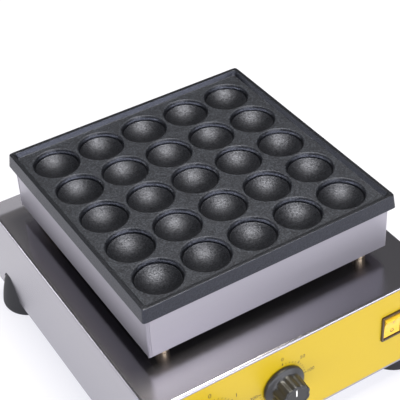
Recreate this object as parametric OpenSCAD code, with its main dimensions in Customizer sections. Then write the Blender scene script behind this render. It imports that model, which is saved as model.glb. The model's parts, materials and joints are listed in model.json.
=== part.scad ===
// Mini pancake grill: a cast plate of round wells on a raised heating box, over a sheet-steel base
// with its controls on the front, standing on four conical rubber feet.
// Millimetres, +Z up, front of the grill towards -Y, origin under the middle of the whole part.

/* [Baking plate] */
// Wells along each side of the plate
wells = 5; // [4:1:6]
// Distance between neighbouring well centres
well_pitch = 50; // [49:0.5:56]
// Diameter of a well at its rim
well_d = 46.4; // [42:0.2:47]
// Height of the soft edge round a well's rim
well_edge = 0.7; // [0.5:0.1:1.2]
// Depth of a well's sloping wall
ledge_depth = 5; // [4:0.1:5.6]
// How far the sloping wall leans inwards
wall_run = 1.9; // [1.4:0.1:2.4]
// Width of the narrow ledge between the wall and the bowl
ledge_w = 0.5; // [0.3:0.1:1]
// Depth of the round bowl below the ledge
bowl_depth = 6.8; // [5:0.1:7.4]
// Flat floor between the outer wells and the foot of the lip
tray_margin = 6.1; // [5:0.1:9]
// Height of the lip above the plate's floor
lip_h = 5; // [4:0.5:8]
// How far the lip's inner face leans outwards
lip_run = 2; // [1:0.5:3]
// Width of the lip's flat top
lip_w = 4; // [3:0.5:7]
// Height of the rim's outer face
rim_face = 15; // [12:0.5:18]
// How far the rim's outer face leans outwards towards its foot
rim_draft = 1.7; // [0.5:0.1:3]
// Radius of the rim's upright corners
rim_corner = 2.5; // [1.5:0.5:5]
// Thickness of the casting under the plate's floor
plate_t = 16; // [15:0.5:20]

/* [Heating box] */
// How far the plate's rim hangs over the skirt
overhang = 5; // [4:0.5:8]
// Height of the skirt below the rim
skirt_h = 47.6; // [44:0.2:60]
// Outer radius of the skirt's upright bends
skirt_bend = 2.5; // [2:0.1:4]
// Width of the skirt's lower return flange
skirt_flange = 8; // [6:0.5:9]
// Air gap between the skirt and the deck
air_gap = 13.9; // [10:0.1:20]
// Diameter of the heating element's tube
element_d = 8; // [6.5:0.5:9]
// Thickness of the insulation on the pan
pad_t = 18; // [10:1:20]
// Diameter of a stand-off spacer
spacer_d = 13; // [10:0.5:13]

/* [Base] */
// Thickness of the stainless sheet
sheet = 1.2; // [1:0.1:1.5]
// Deck beside the skirt, left and right
deck_side = 26.5; // [24:0.5:40]
// Deck in front of the skirt
deck_front = 43.5; // [38:0.5:60]
// Deck behind the skirt
deck_back = 40; // [38:0.5:60]
// Height of the side panels
base_h = 104.5; // [98:0.5:130]
// Height of the side panels' lower edge above the bench
base_clear = 19; // [12:0.5:22]
// Outer radius of the deck's folded edges
bend_r = 3; // [2.5:0.1:4]
// Depth of the rear strip of the deck that slopes down
slope_run = 29; // [20:0.5:32]
// Drop of the sloping strip at its rear edge
slope_drop = 5.1; // [3:0.1:7]
// Height of the deck's folded lip over the front and rear panels
deck_lip = 3; // [2.6:0.1:6]

/* [Feet] */
// Largest diameter of a foot, close to the bench
foot_d = 62.4; // [54:0.2:63]
// Diameter of a foot at its top
foot_top_d = 42.6; // [34:0.2:46]
// How far a foot's side curves outwards (1 is a straight cone)
foot_curve = 1.55; // [1:0.05:2]
// Height of a foot, up to the bottom plate
foot_h = 44; // [38:0.5:46]
// Foot axis in from the outer face of the side panel
foot_side = 21.5; // [20:0.5:24]
// Foot axis in from the base's front and rear
foot_end = 31.25; // [31:0.25:34]
// Gap between a foot and the notch in the side panel
notch_gap = 0.7; // [0.5:0.1:2]

/* [Controls] */
// Height of the knob axes above the bench
knob_z = 74; // [72:0.5:78]
// Timer knob's place across the panel
timer_x = -98; // [-104:1:-90]
// Thermostat knob's place across the panel
thermostat_x = -20; // [-30:1:-10]
// Largest diameter of a knob
knob_d = 44; // [40:0.5:46]
// Height of a knob in front of the panel
knob_h = 22; // [18:0.5:26]
// Flutes round a knob's grip
knob_flutes = 10; // [6:1:12]
// Diameter of the control shafts
shaft_d = 6; // [5:0.5:7]
// Thickness of the yellow control overlay
overlay_t = 0.5; // [0.4:0.1:0.8]
// Power switch's place across the panel
switch_x = 108; // [100:1:112]
// Height of the power switch's middle above the bench
switch_z = 78; // [70:0.5:84]
// Width of the switch bezel
switch_w = 25.8; // [24:0.2:28]
// Height of the switch bezel
switch_h = 31.5; // [30:0.5:34]
// Tilt of the rocker to either side of its middle
rocker_tilt = 9; // [6:1:9]
// Heating lamp's place across the panel
lamp_x = 138; // [134:1:140]
// Diameter of the heating lamp's bezel
lamp_d = 14; // [12:0.5:16]

/* [Rear] */
// Cable gland's place across the rear panel
gland_x = -110; // [-125:1:-80]
// Height of the cable gland's axis above the bench
gland_z = 70; // [62:1:80]
// Bore of the cable gland
gland_bore = 9; // [7:0.5:10]
// Slots in each vent of the rear panel
vent_slots = 5; // [3:1:6]

/* [Hidden] */
$fn = 64;

// Fits shared by neighbouring pieces
fit = 0.2;       // pieces that slot past each other
screw_fit = 0.1; // a screw in its hole
run_fit = 0.05;  // a shaft turning in its bore
cut = 1;         // how far a cutter reaches past what it cuts
film = 0.01;     // thickness of the slabs that a tapered form is drawn between

// Heights of the stack, from the bench up
z_deck = base_clear + base_h;
z_skirt = z_deck + air_gap;
z_pan = z_skirt + sheet;
z_rim = z_skirt + skirt_h;
z_top = z_rim + rim_face;
z_floor = z_top - lip_h;
z_under = z_floor - plate_t;
z_bottom = foot_h;

// Half sizes of the square plate and heating box
well_r = well_d / 2;
well_span = (wells - 1) / 2;
tray_half = well_span * well_pitch + well_r + tray_margin;
lip_in = tray_half + lip_run;
rim_top_half = lip_in + lip_w;
rim_half = rim_top_half + rim_draft;
skirt_half = rim_half - overhang;
skirt_in = skirt_half - sheet;
plate_gap = 3.8;
body_half = skirt_in - plate_gap;

// The base round it, and the plate's place on the base
base_w = 2 * (skirt_half + deck_side);
base_d = 2 * skirt_half + deck_front + deck_back;
half_w = base_w / 2;
half_d = base_d / 2;
plate_y = (deck_front - deck_back) / 2;
foot_x = half_w - foot_side;
foot_y = half_d - foot_end;

// Planes of the front and rear panels, which sit just behind the deck's lips
front_face = -half_d + sheet;
front_back = front_face + sheet;
rear_face = half_d - sheet;
rear_front = rear_face - sheet;
overlay_face = front_face - overlay_t;
panel_half = half_w - sheet - fit;

// Shape of one well
ledge_out = well_r - wall_run;
bowl_r = ledge_out - ledge_w;
bowl_sphere = (bowl_r * bowl_r + bowl_depth * bowl_depth) / (2 * bowl_depth);
well_depth = ledge_depth + bowl_depth;

// Studs that hold plate, pan, spacers and deck together
stud_r = 3;
stud_x = skirt_half - 21;
stud_y = skirt_half - 16;
boss_r = 8;
boss_h = 6;
nut_flats = 10;
nut_h = 5;

// Heating elements: runs at half the well pitch under the plate
element_r = element_d / 2;
element_runs = 4;
run_pitch = well_pitch / 2;
run_out = (wells - 0.5) / 2 * well_pitch;
run_y = stud_y - 34;
run_tail = 4;
element_z = z_under - fit - element_r;
bead_r = element_r;
bead_h = 8;
pin_r = 1.5;
pin_h = 6;

// Bars that press the elements against the plate, between the rows of wells
bar_w = 20;
bar_t = 3;
bar_y = (wells - 2) / 2 * well_pitch;
bar_half = run_out + 8;
bar_top = element_z - element_r - fit;
bar_bolt_xs = [-bar_y, 0, bar_y];
bolt_r = 3;
bolt_in = 8;
bolt_head = 4;

// Temperature bulb in its groove between two columns of wells, and the sleeve below its tail
sensor_x = run_pitch;
bulb_r = 3;
sensor_z = z_under + bulb_r + 2 * fit;
bulb_bore_r = bulb_r + fit;
bulb_len = 80;
bulb_end = plate_y + body_half - 27;
clip_t = 1.2;
clip_w = 12;
clip_reach = 12;
clip_end = 5;
clip_ys = [bulb_end - 15, bulb_end - bulb_len + 15];
clip_in = 5;
capillary_r = 1;
capillary_rise = 26;
sleeve_y = plate_y + body_half - 15;
sleeve_r = 10;
sleeve_wall = 1.5;
sleeve_collar = 15;
lead_r = 1.4;

// Controls
screw_r = 2;
screw_head_r = 3.75;
screw_head_h = 2.4;
shaft_r = shaft_d / 2;
shaft_flat = shaft_r * 0.6;
shaft_hole_r = 5;
control_screw_x = 14;
knob_gap = 1;
knob_r = knob_d / 2;
knob_bore = 15;
shaft_in = 12;
body_w = 36;
body_deep = 30;
timer_r = 24;
timer_deep = 34;
switch_proud = 2.2;
switch_frame = 2.5;
switch_deep = 26;
housing_w = switch_w - 3.8;
housing_h = switch_h - 3.5;
rocker_gap = 0.4;
pivot_r = 1;
pivot_in = 2;
lamp_hole_r = 5;
lamp_z = switch_z;
lamp_proud = 2;

// Feet, rear and bottom panels
foot_steps = 8;
foot_recess = 20;
rail_leg = 15;
rail_t = 1.5;
rail_half = foot_y - 14;
rail_screw_x = half_w - sheet - rail_leg / 2;
rail_screw_end = 30;
rail_screw_ys = [for (k = [-1, 0, 1]) k * (rail_half - rail_screw_end)];
shell_flange = 12;
rear_edge = z_deck - slope_drop;
rear_screw_x = half_w - sheet - shell_flange / 2;
rear_screw_low = 18;
rear_screw_pitch = 30;
rear_screw_zs = [for (k = [0, 1, 2]) base_clear + rear_screw_low + k * rear_screw_pitch];
gland_thread_r = 8;
gland_flats = 24;
gland_hex = 5;
gland_cap_h = 14;
gland_in = 12;
vent_w = 70;
vent_slot = 4;
vent_pitch = 9;
vent_x = 55;
floor_slot_w = 60;
floor_slots = 6;

// The part is shifted so that its origin lies under the middle of its overall length
front_reach = half_d - sheet + overlay_t + knob_gap + knob_h;
rear_reach = half_d - sheet + gland_hex + gland_cap_h;
frame_y = (front_reach - rear_reach) / 2;

echo(overall = [2 * (foot_x + foot_d / 2), front_reach + rear_reach, z_top], frame_y = frame_y);

// Square of a given half size with round corners
module rounded_square(half, r) {
    square([2 * half, 2 * (half - r)], center = true);
    square([2 * (half - r), 2 * half], center = true);
    for (sx = [-1, 1], sy = [-1, 1]) translate([sx * (half - r), sy * (half - r)]) circle(r);
}

// Square slab that tapers from one half size to another
module tapered_slab(half0, half1, r, z0, z1) {
    hull() {
        translate([0, 0, z0]) linear_extrude(film) rounded_square(half0, r, $fn = 32);
        translate([0, 0, z1 - film]) linear_extrude(film) rounded_square(half1, r, $fn = 32);
    }
}

// Square tube or frame between two heights
module square_frame(half, wall, r, z0, h) {
    translate([0, 0, z0]) linear_extrude(h) difference() {
        rounded_square(half, r);
        rounded_square(half - wall, max(r - wall, 0.5));
    }
}

// Copies at the four corners of a rectangle round the given centre line
module at_corners(x, y, middle_y) {
    for (sx = [-1, 1], sy = [-1, 1]) translate([sx * x, middle_y + sy * y, 0]) children();
}

// Draws along the panel's outward normal, at a place on the front
module on_front(x, z, y) {
    translate([x, y, z]) rotate([90, 0, 0]) children();
}

// Draws along the rear panel's outward normal
module on_rear(x, z, y) {
    translate([x, y, z]) rotate([-90, 0, 0]) children();
}

// Round rod between two points
module rod(p, q, r) {
    d = q - p;
    length = norm(d);
    translate(p) rotate([0, acos(d[2] / length), atan2(d[1], d[0])]) cylinder(h = length, r = r);
}

// Rod along a list of points, with a slightly larger ball at each turn
module bent_rod(points, r) {
    for (i = [0 : len(points) - 2]) rod(points[i], points[i + 1], r);
    for (i = [1 : len(points) - 2]) translate(points[i]) sphere(r + fit / 4);
}

// Round hole up through a layer whose lower face is at z
module hole_through(z, t, r) {
    translate([0, 0, z - cut]) cylinder(h = t + 2 * cut, r = r);
}

// Slot with round ends, lying along X
module slot(length, width, h) {
    cube([length - width, width, h], center = true);
    for (s = [-1, 1]) translate([s * (length - width) / 2, 0, 0]) cylinder(h = h, d = width, center = true);
}

// Hexagon nut with its bore
module hex_nut(flats, h, bore) {
    difference() {
        cylinder(h = h, d = flats / cos(30), $fn = 6);
        translate([0, 0, -cut]) cylinder(h = h + 2 * cut, r = bore);
    }
}

// Pan-head screw with its head above z = 0 and its shank below
module pan_screw(shank, r, head_r, head_h) {
    translate([0, 0, -shank]) cylinder(h = shank, r = r);
    cylinder(h = head_h * 0.6, r = head_r);
    translate([0, 0, head_h * 0.6]) cylinder(h = head_h * 0.4, r1 = head_r, r2 = head_r * 0.7);
}

// Control shaft with one flat, grown by a clearance when it is used as a cutter
module flatted_shaft(h, grow) {
    difference() {
        cylinder(h = h, r = shaft_r + grow);
        translate([shaft_flat + grow, -shaft_d, -cut]) cube([shaft_d, 2 * shaft_d, h + 2 * cut]);
    }
}

// One well, drawn as a cutter with the plate's floor at z = 0
module well_cut() {
    rotate_extrude() polygon([[0, -ledge_depth], [ledge_out, -ledge_depth], [well_r, -well_edge],
        [well_r + well_edge + cut, cut], [0, cut]]);
    intersection() {
        translate([0, 0, bowl_sphere - well_depth]) sphere(bowl_sphere);
        translate([0, 0, -well_depth - cut]) cylinder(h = bowl_depth + cut + ledge_w / 2, r = ledge_out);
    }
}

// Cast plate: drafted rim and lip, rows of wells, bosses and a groove for the bulb
module baking_plate() {
    groove_y = bulb_end - plate_y - bulb_len - fit;
    groove_len = sleeve_y - plate_y + 4 - groove_y;
    color("#3b3d41") translate([0, plate_y, 0]) difference() {
        union() {
            tapered_slab(rim_half, rim_top_half, rim_corner, z_rim, z_top);
            translate([0, 0, (z_under + z_rim + cut) / 2])
                cube([2 * body_half, 2 * body_half, z_rim + cut - z_under], center = true);
            at_corners(stud_x, stud_y, 0) translate([0, 0, z_under - boss_h])
                cylinder(h = boss_h + cut, r = boss_r);
        }
        tapered_slab(tray_half, lip_in + lip_run * cut / lip_h, rim_corner, z_floor, z_top + cut);
        for (i = [0 : wells - 1], j = [0 : wells - 1])
            translate([(i - well_span) * well_pitch, (j - well_span) * well_pitch, z_floor]) well_cut();
        at_corners(stud_x, stud_y, 0) translate([0, 0, z_under - boss_h - cut])
            cylinder(h = boss_h + stud_r + 2 * cut, r = stud_r + screw_fit);
        for (x = bar_bolt_xs, s = [-1, 1]) translate([x, s * bar_y, z_under - cut])
            cylinder(h = bolt_in + fit + cut, r = bolt_r + screw_fit);
        translate([sensor_x, groove_y, sensor_z]) rotate([-90, 0, 0])
            cylinder(h = groove_len, r = bulb_bore_r);
        translate([sensor_x - bulb_bore_r, groove_y, z_under - cut])
            cube([2 * bulb_bore_r, groove_len, sensor_z - z_under + cut]);
        for (y = clip_ys) translate([sensor_x - clip_reach, y - plate_y, z_under - cut])
            cylinder(h = clip_in + fit + cut, r = screw_r + screw_fit);
    }
}

// Folded skirt round the heating box, with welded corners that stay open for a short slot
module heater_skirt() {
    slot_z = z_skirt + 8;
    slot_h = 9;
    color("#b9b5bf") translate([0, plate_y, 0]) difference() {
        union() {
            square_frame(skirt_half, sheet, skirt_bend, z_skirt, skirt_h);
            square_frame(skirt_in + film, skirt_flange, skirt_bend - sheet, z_skirt, sheet);
        }
        for (sx = [-1, 1], sy = [-1, 1]) translate([sx * skirt_half, sy * skirt_half, slot_z + slot_h / 2])
            rotate([0, 0, sx * sy * 45]) cube([4 * skirt_bend, 1, slot_h], center = true);
    }
}

// Pan that closes the heating box from below, lying on the skirt's flange
module heater_pan() {
    pan_half = skirt_in - fit;
    pan_edge = 12;
    color("#a9a9ad") translate([0, plate_y, 0]) difference() {
        union() {
            square_frame(pan_half, sheet, 1.5, z_pan, pan_edge);
            translate([0, 0, z_pan]) linear_extrude(sheet) rounded_square(pan_half - film, 1.5);
        }
        at_corners(stud_x, stud_y, 0) hole_through(z_pan, sheet, stud_r + fit);
        translate([sensor_x, sleeve_y - plate_y, 0]) hole_through(z_pan, sheet, sleeve_r + fit);
    }
}

// Fibre pad on the pan's floor
module insulation_pad() {
    pad_half = skirt_in - 10;
    nut_room = nut_flats * 0.7;
    z0 = z_pan + sheet;
    color("#e9e4d6") translate([0, plate_y, z0]) difference() {
        linear_extrude(pad_t) rounded_square(pad_half, 4);
        at_corners(stud_x, stud_y, 0) hole_through(0, pad_t, nut_room);
        translate([sensor_x, sleeve_y - plate_y, 0]) hole_through(0, pad_t, sleeve_r + 1);
    }
}

// Tubular heating element on the left side, four runs joined by three bends
module element() {
    bend_turn = [180, 0, 180];
    translate([0, plate_y, element_z]) {
        for (k = [0 : element_runs - 1]) {
            tail = (k == 0 || k == element_runs - 1) ? run_tail : 0;
            translate([-run_out + k * run_pitch, -run_y, 0]) rotate([-90, 0, 0])
                cylinder(h = 2 * run_y + tail, r = element_r);
        }
        for (k = [0 : element_runs - 2])
            translate([-run_out + (k + 0.5) * run_pitch, k % 2 == 0 ? -run_y : run_y, 0])
                rotate([0, 0, bend_turn[k]]) rotate_extrude(angle = 180)
                    translate([run_pitch / 2, 0]) circle(element_r);
    }
}

module left_heating_element() {
    color("#6d6a66") element();
}

module right_heating_element() {
    color("#6d6a66") mirror([1, 0, 0]) element();
}

// Element ends: the outermost and innermost run on each side
function element_ends() = [for (s = [-1, 1], k = [0, element_runs - 1]) s * (run_out - k * run_pitch)];

// Ceramic bead and terminal pin on each element end
module terminal_beads() {
    color("#ece7da") for (x = element_ends())
        translate([x, plate_y + run_y + run_tail, element_z]) rotate([-90, 0, 0]) {
            cylinder(h = bead_h, r = bead_r);
            cylinder(h = bead_h + pin_h, r = pin_r);
        }
}

// Two flat bars that press the elements up against the plate
module clamp_bars() {
    color("#8b8b8d") for (s = [-1, 1]) translate([0, plate_y + s * bar_y, bar_top - bar_t]) difference() {
        translate([0, 0, bar_t / 2]) cube([2 * bar_half, bar_w, bar_t], center = true);
        for (x = bar_bolt_xs) translate([x, 0, 0]) hole_through(0, bar_t, bolt_r + screw_fit);
    }
}

// Bolts that draw the bars up into the casting
module clamp_bolts() {
    length = bar_t + z_under - bar_top + bolt_in;
    color("#9a9a9c") for (x = bar_bolt_xs, s = [-1, 1])
        translate([x, plate_y + s * bar_y, bar_top - bar_t]) {
            translate([0, 0, -bolt_head]) cylinder(h = bolt_head, d = nut_flats / cos(30), $fn = 6);
            cylinder(h = length, r = bolt_r);
        }
}

// Insulated leads from the element ends, down the sleeve to the terminal block
module heater_leads() {
    start_y = plate_y + run_y + run_tail + bead_h + pin_h + lead_r + fit;
    block_top = z_bottom + sheet + block_h;
    ends = element_ends();
    spread = 3.4;
    levels = [bar_top - 11, bar_top - 7, bar_top - 11, bar_top - 7];
    color("#c8c2b2") for (i = [0 : len(ends) - 1]) {
        side = ends[i] < 0 ? -1 : 1;
        drop = [sensor_x + side * spread, sleeve_y + (i % 2 == 0 ? -spread : spread)];
        bent_rod([[ends[i], start_y, element_z + pin_r], [ends[i], start_y, levels[i]],
            [drop[0], drop[1], levels[i]], [drop[0], drop[1], block_top + fit]], lead_r);
    }
}

// Temperature bulb in the plate, with its capillary down to the thermostat
module thermostat_bulb() {
    tail_z = knob_z + capillary_rise;
    tail_y = front_back + body_deep + capillary_r;
    color("#b87f4a") {
        translate([sensor_x, bulb_end - bulb_len, sensor_z]) rotate([-90, 0, 0])
            cylinder(h = bulb_len, r = bulb_r);
        bent_rod([[sensor_x, bulb_end, sensor_z], [sensor_x, sleeve_y, sensor_z],
            [sensor_x, sleeve_y, tail_z], [thermostat_x, tail_y, tail_z],
            [thermostat_x, tail_y, knob_z]], capillary_r);
    }
}

// Straps that hold the bulb up in its groove
module bulb_clips() {
    color("#a9a9ad") for (y = clip_ys) translate([sensor_x, y, z_under - clip_t]) difference() {
        translate([-clip_reach - clip_end, -clip_w / 2, 0])
            cube([clip_reach + 2 * clip_end, clip_w, clip_t]);
        translate([-clip_reach, 0, 0]) hole_through(0, clip_t, screw_r + screw_fit);
    }
}

// Screws of the straps
module clip_screws() {
    color("#c2c2c6") for (y = clip_ys) translate([sensor_x - clip_reach, y, z_under - clip_t])
        rotate([180, 0, 0]) pan_screw(clip_t + clip_in, screw_r, screw_head_r, screw_head_h);
}

// Four studs from the plate's bosses down through the deck
module plate_studs() {
    bottom = z_deck - sheet - nut_h - 4;
    color("#a3a3a6") at_corners(stud_x, stud_y, plate_y) translate([0, 0, bottom])
        cylinder(h = z_under + stud_r - bottom, r = stud_r);
}

// Nuts on the studs, on the pan's floor and under the deck
module stud_nuts() {
    color("#b4b4b8") at_corners(stud_x, stud_y, plate_y) {
        translate([0, 0, z_pan + sheet]) hex_nut(nut_flats, nut_h, stud_r + screw_fit);
        translate([0, 0, z_deck - sheet - nut_h]) hex_nut(nut_flats, nut_h, stud_r + screw_fit);
    }
}

// Turned spacers that hold the heating box off the deck
module stand_off_spacers() {
    edge = 0.6;
    length = z_pan - z_deck;
    color("#b29a6b") at_corners(stud_x, stud_y, plate_y) translate([0, 0, z_deck]) rotate_extrude() polygon([
        [stud_r + fit, 0], [spacer_d / 2 - edge, 0], [spacer_d / 2, edge], [spacer_d / 2, length - edge],
        [spacer_d / 2 - edge, length], [stud_r + fit, length]]);
}

// Collared tube that takes the leads from the base into the heating box
module wire_sleeve() {
    z0 = z_deck - sheet - 5;
    z1 = z_pan + sheet + 3;
    color("#b4b4b8") translate([sensor_x, sleeve_y, 0]) difference() {
        union() {
            translate([0, 0, z0]) cylinder(h = z1 - z0, r = sleeve_r);
            translate([0, 0, z_deck]) cylinder(h = sleeve_wall, r = sleeve_collar);
        }
        translate([0, 0, z0 - cut]) cylinder(h = z1 - z0 + 2 * cut, r = sleeve_r - sleeve_wall);
    }
}

// Side outline of the base: front bend, flat deck and the sloping rear strip
module side_outline(inset, low) {
    y0 = -half_d + inset;
    y1 = half_d - inset;
    top = z_deck - inset;
    r = bend_r - inset;
    slope_y = half_d - slope_run;
    end_z = top - slope_drop * (y1 - slope_y) / slope_run;
    polygon([[y0, low], [y0, top - r], [y0 + r, top], [slope_y, top], [y1, end_z], [y1, low]]);
    translate([y0 + r, top - r]) circle(r);
}

// Front outline of the base: upright sides folded into the deck
module front_outline(inset, low) {
    half = half_w - inset;
    top = z_deck - inset;
    r = bend_r - inset;
    translate([-half, low]) square([2 * half, top - r - low]);
    translate([-half + r, low]) square([2 * (half - r), top - low]);
    for (s = [-1, 1]) translate([s * (half - r), top - r]) circle(r);
}

// Block with both outlines
module base_block(inset, low) {
    intersection() {
        rotate([90, 0, 90]) translate([0, 0, -half_w]) linear_extrude(2 * half_w) side_outline(inset, low);
        rotate([90, 0, 0]) translate([0, 0, -half_d]) linear_extrude(2 * half_d) front_outline(inset, low);
    }
}

// Radius of a foot at a height above the bench
function foot_r(z) = (foot_d - (foot_d - foot_top_d) * pow(z / foot_h, foot_curve)) / 2;

// Curved cone of a foot without its soft edges, grown by a gap when it is used as a cutter
module foot_cone(gap) {
    rotate_extrude() polygon(concat([[0, foot_h]], [[0, 0]],
        [for (k = [0 : foot_steps]) [foot_r(k * foot_h / foot_steps) + gap, k * foot_h / foot_steps]]));
}

// Deck and sides folded from one sheet, notched over the feet
module base_shell() {
    flange_z = base_clear + 4;
    color("#b9b5bf") difference() {
        union() {
            difference() {
                base_block(0, base_clear);
                base_block(sheet, base_clear - cut);
                translate([-half_w + sheet, -half_d - cut, base_clear - cut])
                    cube([base_w - 2 * sheet, sheet + 2 * cut, base_h + cut - deck_lip]);
                translate([-half_w + sheet, half_d - sheet - cut, base_clear - cut])
                    cube([base_w - 2 * sheet, sheet + 2 * cut, rear_edge - base_clear + cut - deck_lip]);
            }
            for (s = [-1, 1]) translate([s * (half_w - sheet - shell_flange / 2), 0, 0]) {
                translate([0, front_back + sheet / 2, (flange_z + z_deck - deck_lip) / 2])
                    cube([shell_flange + 2 * film, sheet, z_deck - deck_lip - flange_z], center = true);
                translate([0, rear_front - sheet / 2, (flange_z + rear_edge - deck_lip) / 2])
                    cube([shell_flange + 2 * film, sheet, rear_edge - deck_lip - flange_z], center = true);
            }
        }
        at_corners(foot_x, foot_y, 0) foot_cone(notch_gap);
        at_corners(stud_x, stud_y, plate_y) hole_through(z_deck - sheet, sheet, stud_r + fit);
        translate([sensor_x, sleeve_y, 0]) hole_through(z_deck - sheet, sheet, sleeve_r + fit);
        for (s = [-1, 1], z = rear_screw_zs) on_rear(s * rear_screw_x, z, rear_front - sheet - cut)
            cylinder(h = sheet + 2 * cut, r = screw_r + screw_fit);
    }
}

// Openings for the controls, through whatever lies at the front
module control_openings(grow) {
    depth = sheet + overlay_t + 2 * cut;
    for (x = [timer_x, thermostat_x]) {
        on_front(x, knob_z, front_back + cut) cylinder(h = depth, r = shaft_hole_r + grow);
        for (s = [-1, 1]) on_front(x + s * control_screw_x, knob_z, front_back + cut)
            cylinder(h = depth, r = screw_r + screw_fit);
    }
    translate([switch_x, front_back + cut - depth / 2, switch_z])
        cube([housing_w + 2 * fit, depth, housing_h + 2 * fit], center = true);
    on_front(lamp_x, lamp_z, front_back + cut) cylinder(h = depth, r = lamp_hole_r + fit);
}

// Stainless front panel behind the deck's lip, with a short return flange below
module front_panel() {
    return_half = foot_x - foot_d / 2 - 4;
    return_w = 15;
    color("#b9b5bf") difference() {
        union() {
            translate([-panel_half, front_face, base_clear])
                cube([2 * panel_half, sheet, base_h - bend_r - fit]);
            translate([-return_half, front_face, base_clear]) cube([2 * return_half, return_w, sheet]);
        }
        control_openings(0);
    }
}

// Yellow overlay on the front panel
module control_overlay() {
    overlay_gap = 0.8;
    overlay_half = panel_half - 2;
    low = base_clear + 3;
    high = z_deck - deck_lip - overlay_gap;
    color("#f3cf4f") difference() {
        translate([-overlay_half, overlay_face, low]) cube([2 * overlay_half, overlay_t, high - low]);
        control_openings(fit);
    }
}

// Rear panel with two slotted vents and the hole for the cable gland
module rear_panel() {
    top = rear_edge - sheet - fit - slope_drop * sheet / slope_run;
    color("#b9b5bf") difference() {
        translate([-panel_half, rear_front, base_clear]) cube([2 * panel_half, sheet, top - base_clear]);
        for (s = [-1, 1], k = [0 : vent_slots - 1])
            on_rear(s * vent_x, gland_z + (k - (vent_slots - 1) / 2) * vent_pitch, rear_front + sheet / 2)
                slot(vent_w, vent_slot, sheet + 2 * cut);
        on_rear(gland_x, gland_z, rear_front - cut) cylinder(h = sheet + 2 * cut, r = gland_thread_r + fit);
        for (s = [-1, 1], z = rear_screw_zs) on_rear(s * rear_screw_x, z, rear_front - cut)
            cylinder(h = sheet + 2 * cut, r = screw_r + screw_fit);
    }
}

// Screws of the rear panel
module rear_screws() {
    color("#c2c2c6") for (s = [-1, 1], z = rear_screw_zs) on_rear(s * rear_screw_x, z, rear_face)
        pan_screw(2 * sheet + 3, screw_r, screw_head_r, screw_head_h);
}

// Bottom plate on the feet, slotted for air
module bottom_plate() {
    half_x = panel_half;
    half_y = half_d - 3 * sheet - fit;
    color("#a9a9ad") difference() {
        translate([0, 0, z_bottom + sheet / 2]) cube([2 * half_x, 2 * half_y, sheet], center = true);
        at_corners(foot_x, foot_y, 0) hole_through(z_bottom, sheet, stud_r + fit);
        for (s = [-1, 1], y = rail_screw_ys) translate([s * rail_screw_x, y, 0])
            hole_through(z_bottom, sheet, screw_r + screw_fit);
        for (s = [-1, 1], k = [0 : floor_slots - 1])
            translate([s * floor_slot_w, (k - (floor_slots - 1) / 2) * 2 * vent_pitch, z_bottom + sheet / 2])
                slot(floor_slot_w, vent_slot, sheet + 2 * cut);
    }
}

// Angle rail inside the right side panel, which the bottom plate is screwed up to
module rail() {
    x1 = half_w - sheet;
    z0 = z_bottom + sheet;
    difference() {
        union() {
            translate([x1 - rail_t, -rail_half, z0]) cube([rail_t, 2 * rail_half, rail_leg]);
            translate([x1 - rail_leg, -rail_half, z0]) cube([rail_leg, 2 * rail_half, rail_t]);
        }
        for (y = rail_screw_ys) translate([rail_screw_x, y, 0])
            hole_through(z0, rail_t, screw_r + screw_fit);
    }
}

module left_rail() {
    color("#a9a9ad") mirror([1, 0, 0]) rail();
}

module right_rail() {
    color("#a9a9ad") rail();
}

// Screws of the bottom plate
module bottom_screws() {
    color("#c2c2c6") for (s = [-1, 1], y = rail_screw_ys)
        translate([s * rail_screw_x, y, z_bottom]) rotate([180, 0, 0])
            pan_screw(sheet + rail_t + 3, screw_r, screw_head_r, screw_head_h);
}

// Conical rubber foot with bulging sides, a soft lower edge and a deep recess for its screw
module foot() {
    edge = 4;
    top_edge = 1.5;
    recess_r = 11;
    side = [for (k = [1 : foot_steps - 1]) [foot_r(k * foot_h / foot_steps), k * foot_h / foot_steps]];
    color("#404144") difference() {
        union() {
            rotate_extrude() polygon(concat(
                [[0, foot_h], [0, 0], [foot_r(edge) - edge, 0], [foot_r(edge), edge]], side,
                [[foot_r(foot_h - top_edge), foot_h - top_edge], [foot_r(foot_h) - top_edge, foot_h]]));
            rotate_extrude() translate([foot_r(edge) - edge, edge]) circle(edge);
        }
        translate([0, 0, -cut]) cylinder(h = foot_recess + cut, r = recess_r);
        cylinder(h = foot_h + cut, r = stud_r + fit);
    }
}

module foot_at(sx, sy) {
    translate([sx * foot_x, sy * foot_y, 0]) foot();
}

module front_left_foot() {
    foot_at(-1, -1);
}

module front_right_foot() {
    foot_at(1, -1);
}

module rear_left_foot() {
    foot_at(-1, 1);
}

module rear_right_foot() {
    foot_at(1, 1);
}

// Screws up through the feet, with a washer face under each head
module foot_screws() {
    washer_r = 9;
    washer_t = 1.5;
    color("#b4b4b8") at_corners(foot_x, foot_y, 0) translate([0, 0, foot_recess]) {
        translate([0, 0, -washer_t]) cylinder(h = washer_t, r = washer_r);
        translate([0, 0, -washer_t - bolt_head])
            cylinder(h = bolt_head + washer_t / 2, d = nut_flats / cos(30), $fn = 6);
        cylinder(h = foot_h - foot_recess + sheet + nut_h + 2, r = stud_r);
    }
}

// Nuts that hold the feet to the bottom plate
module foot_nuts() {
    color("#b4b4b8") at_corners(foot_x, foot_y, 0) translate([0, 0, z_bottom + sheet])
        hex_nut(nut_flats, nut_h, stud_r + screw_fit);
}

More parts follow.
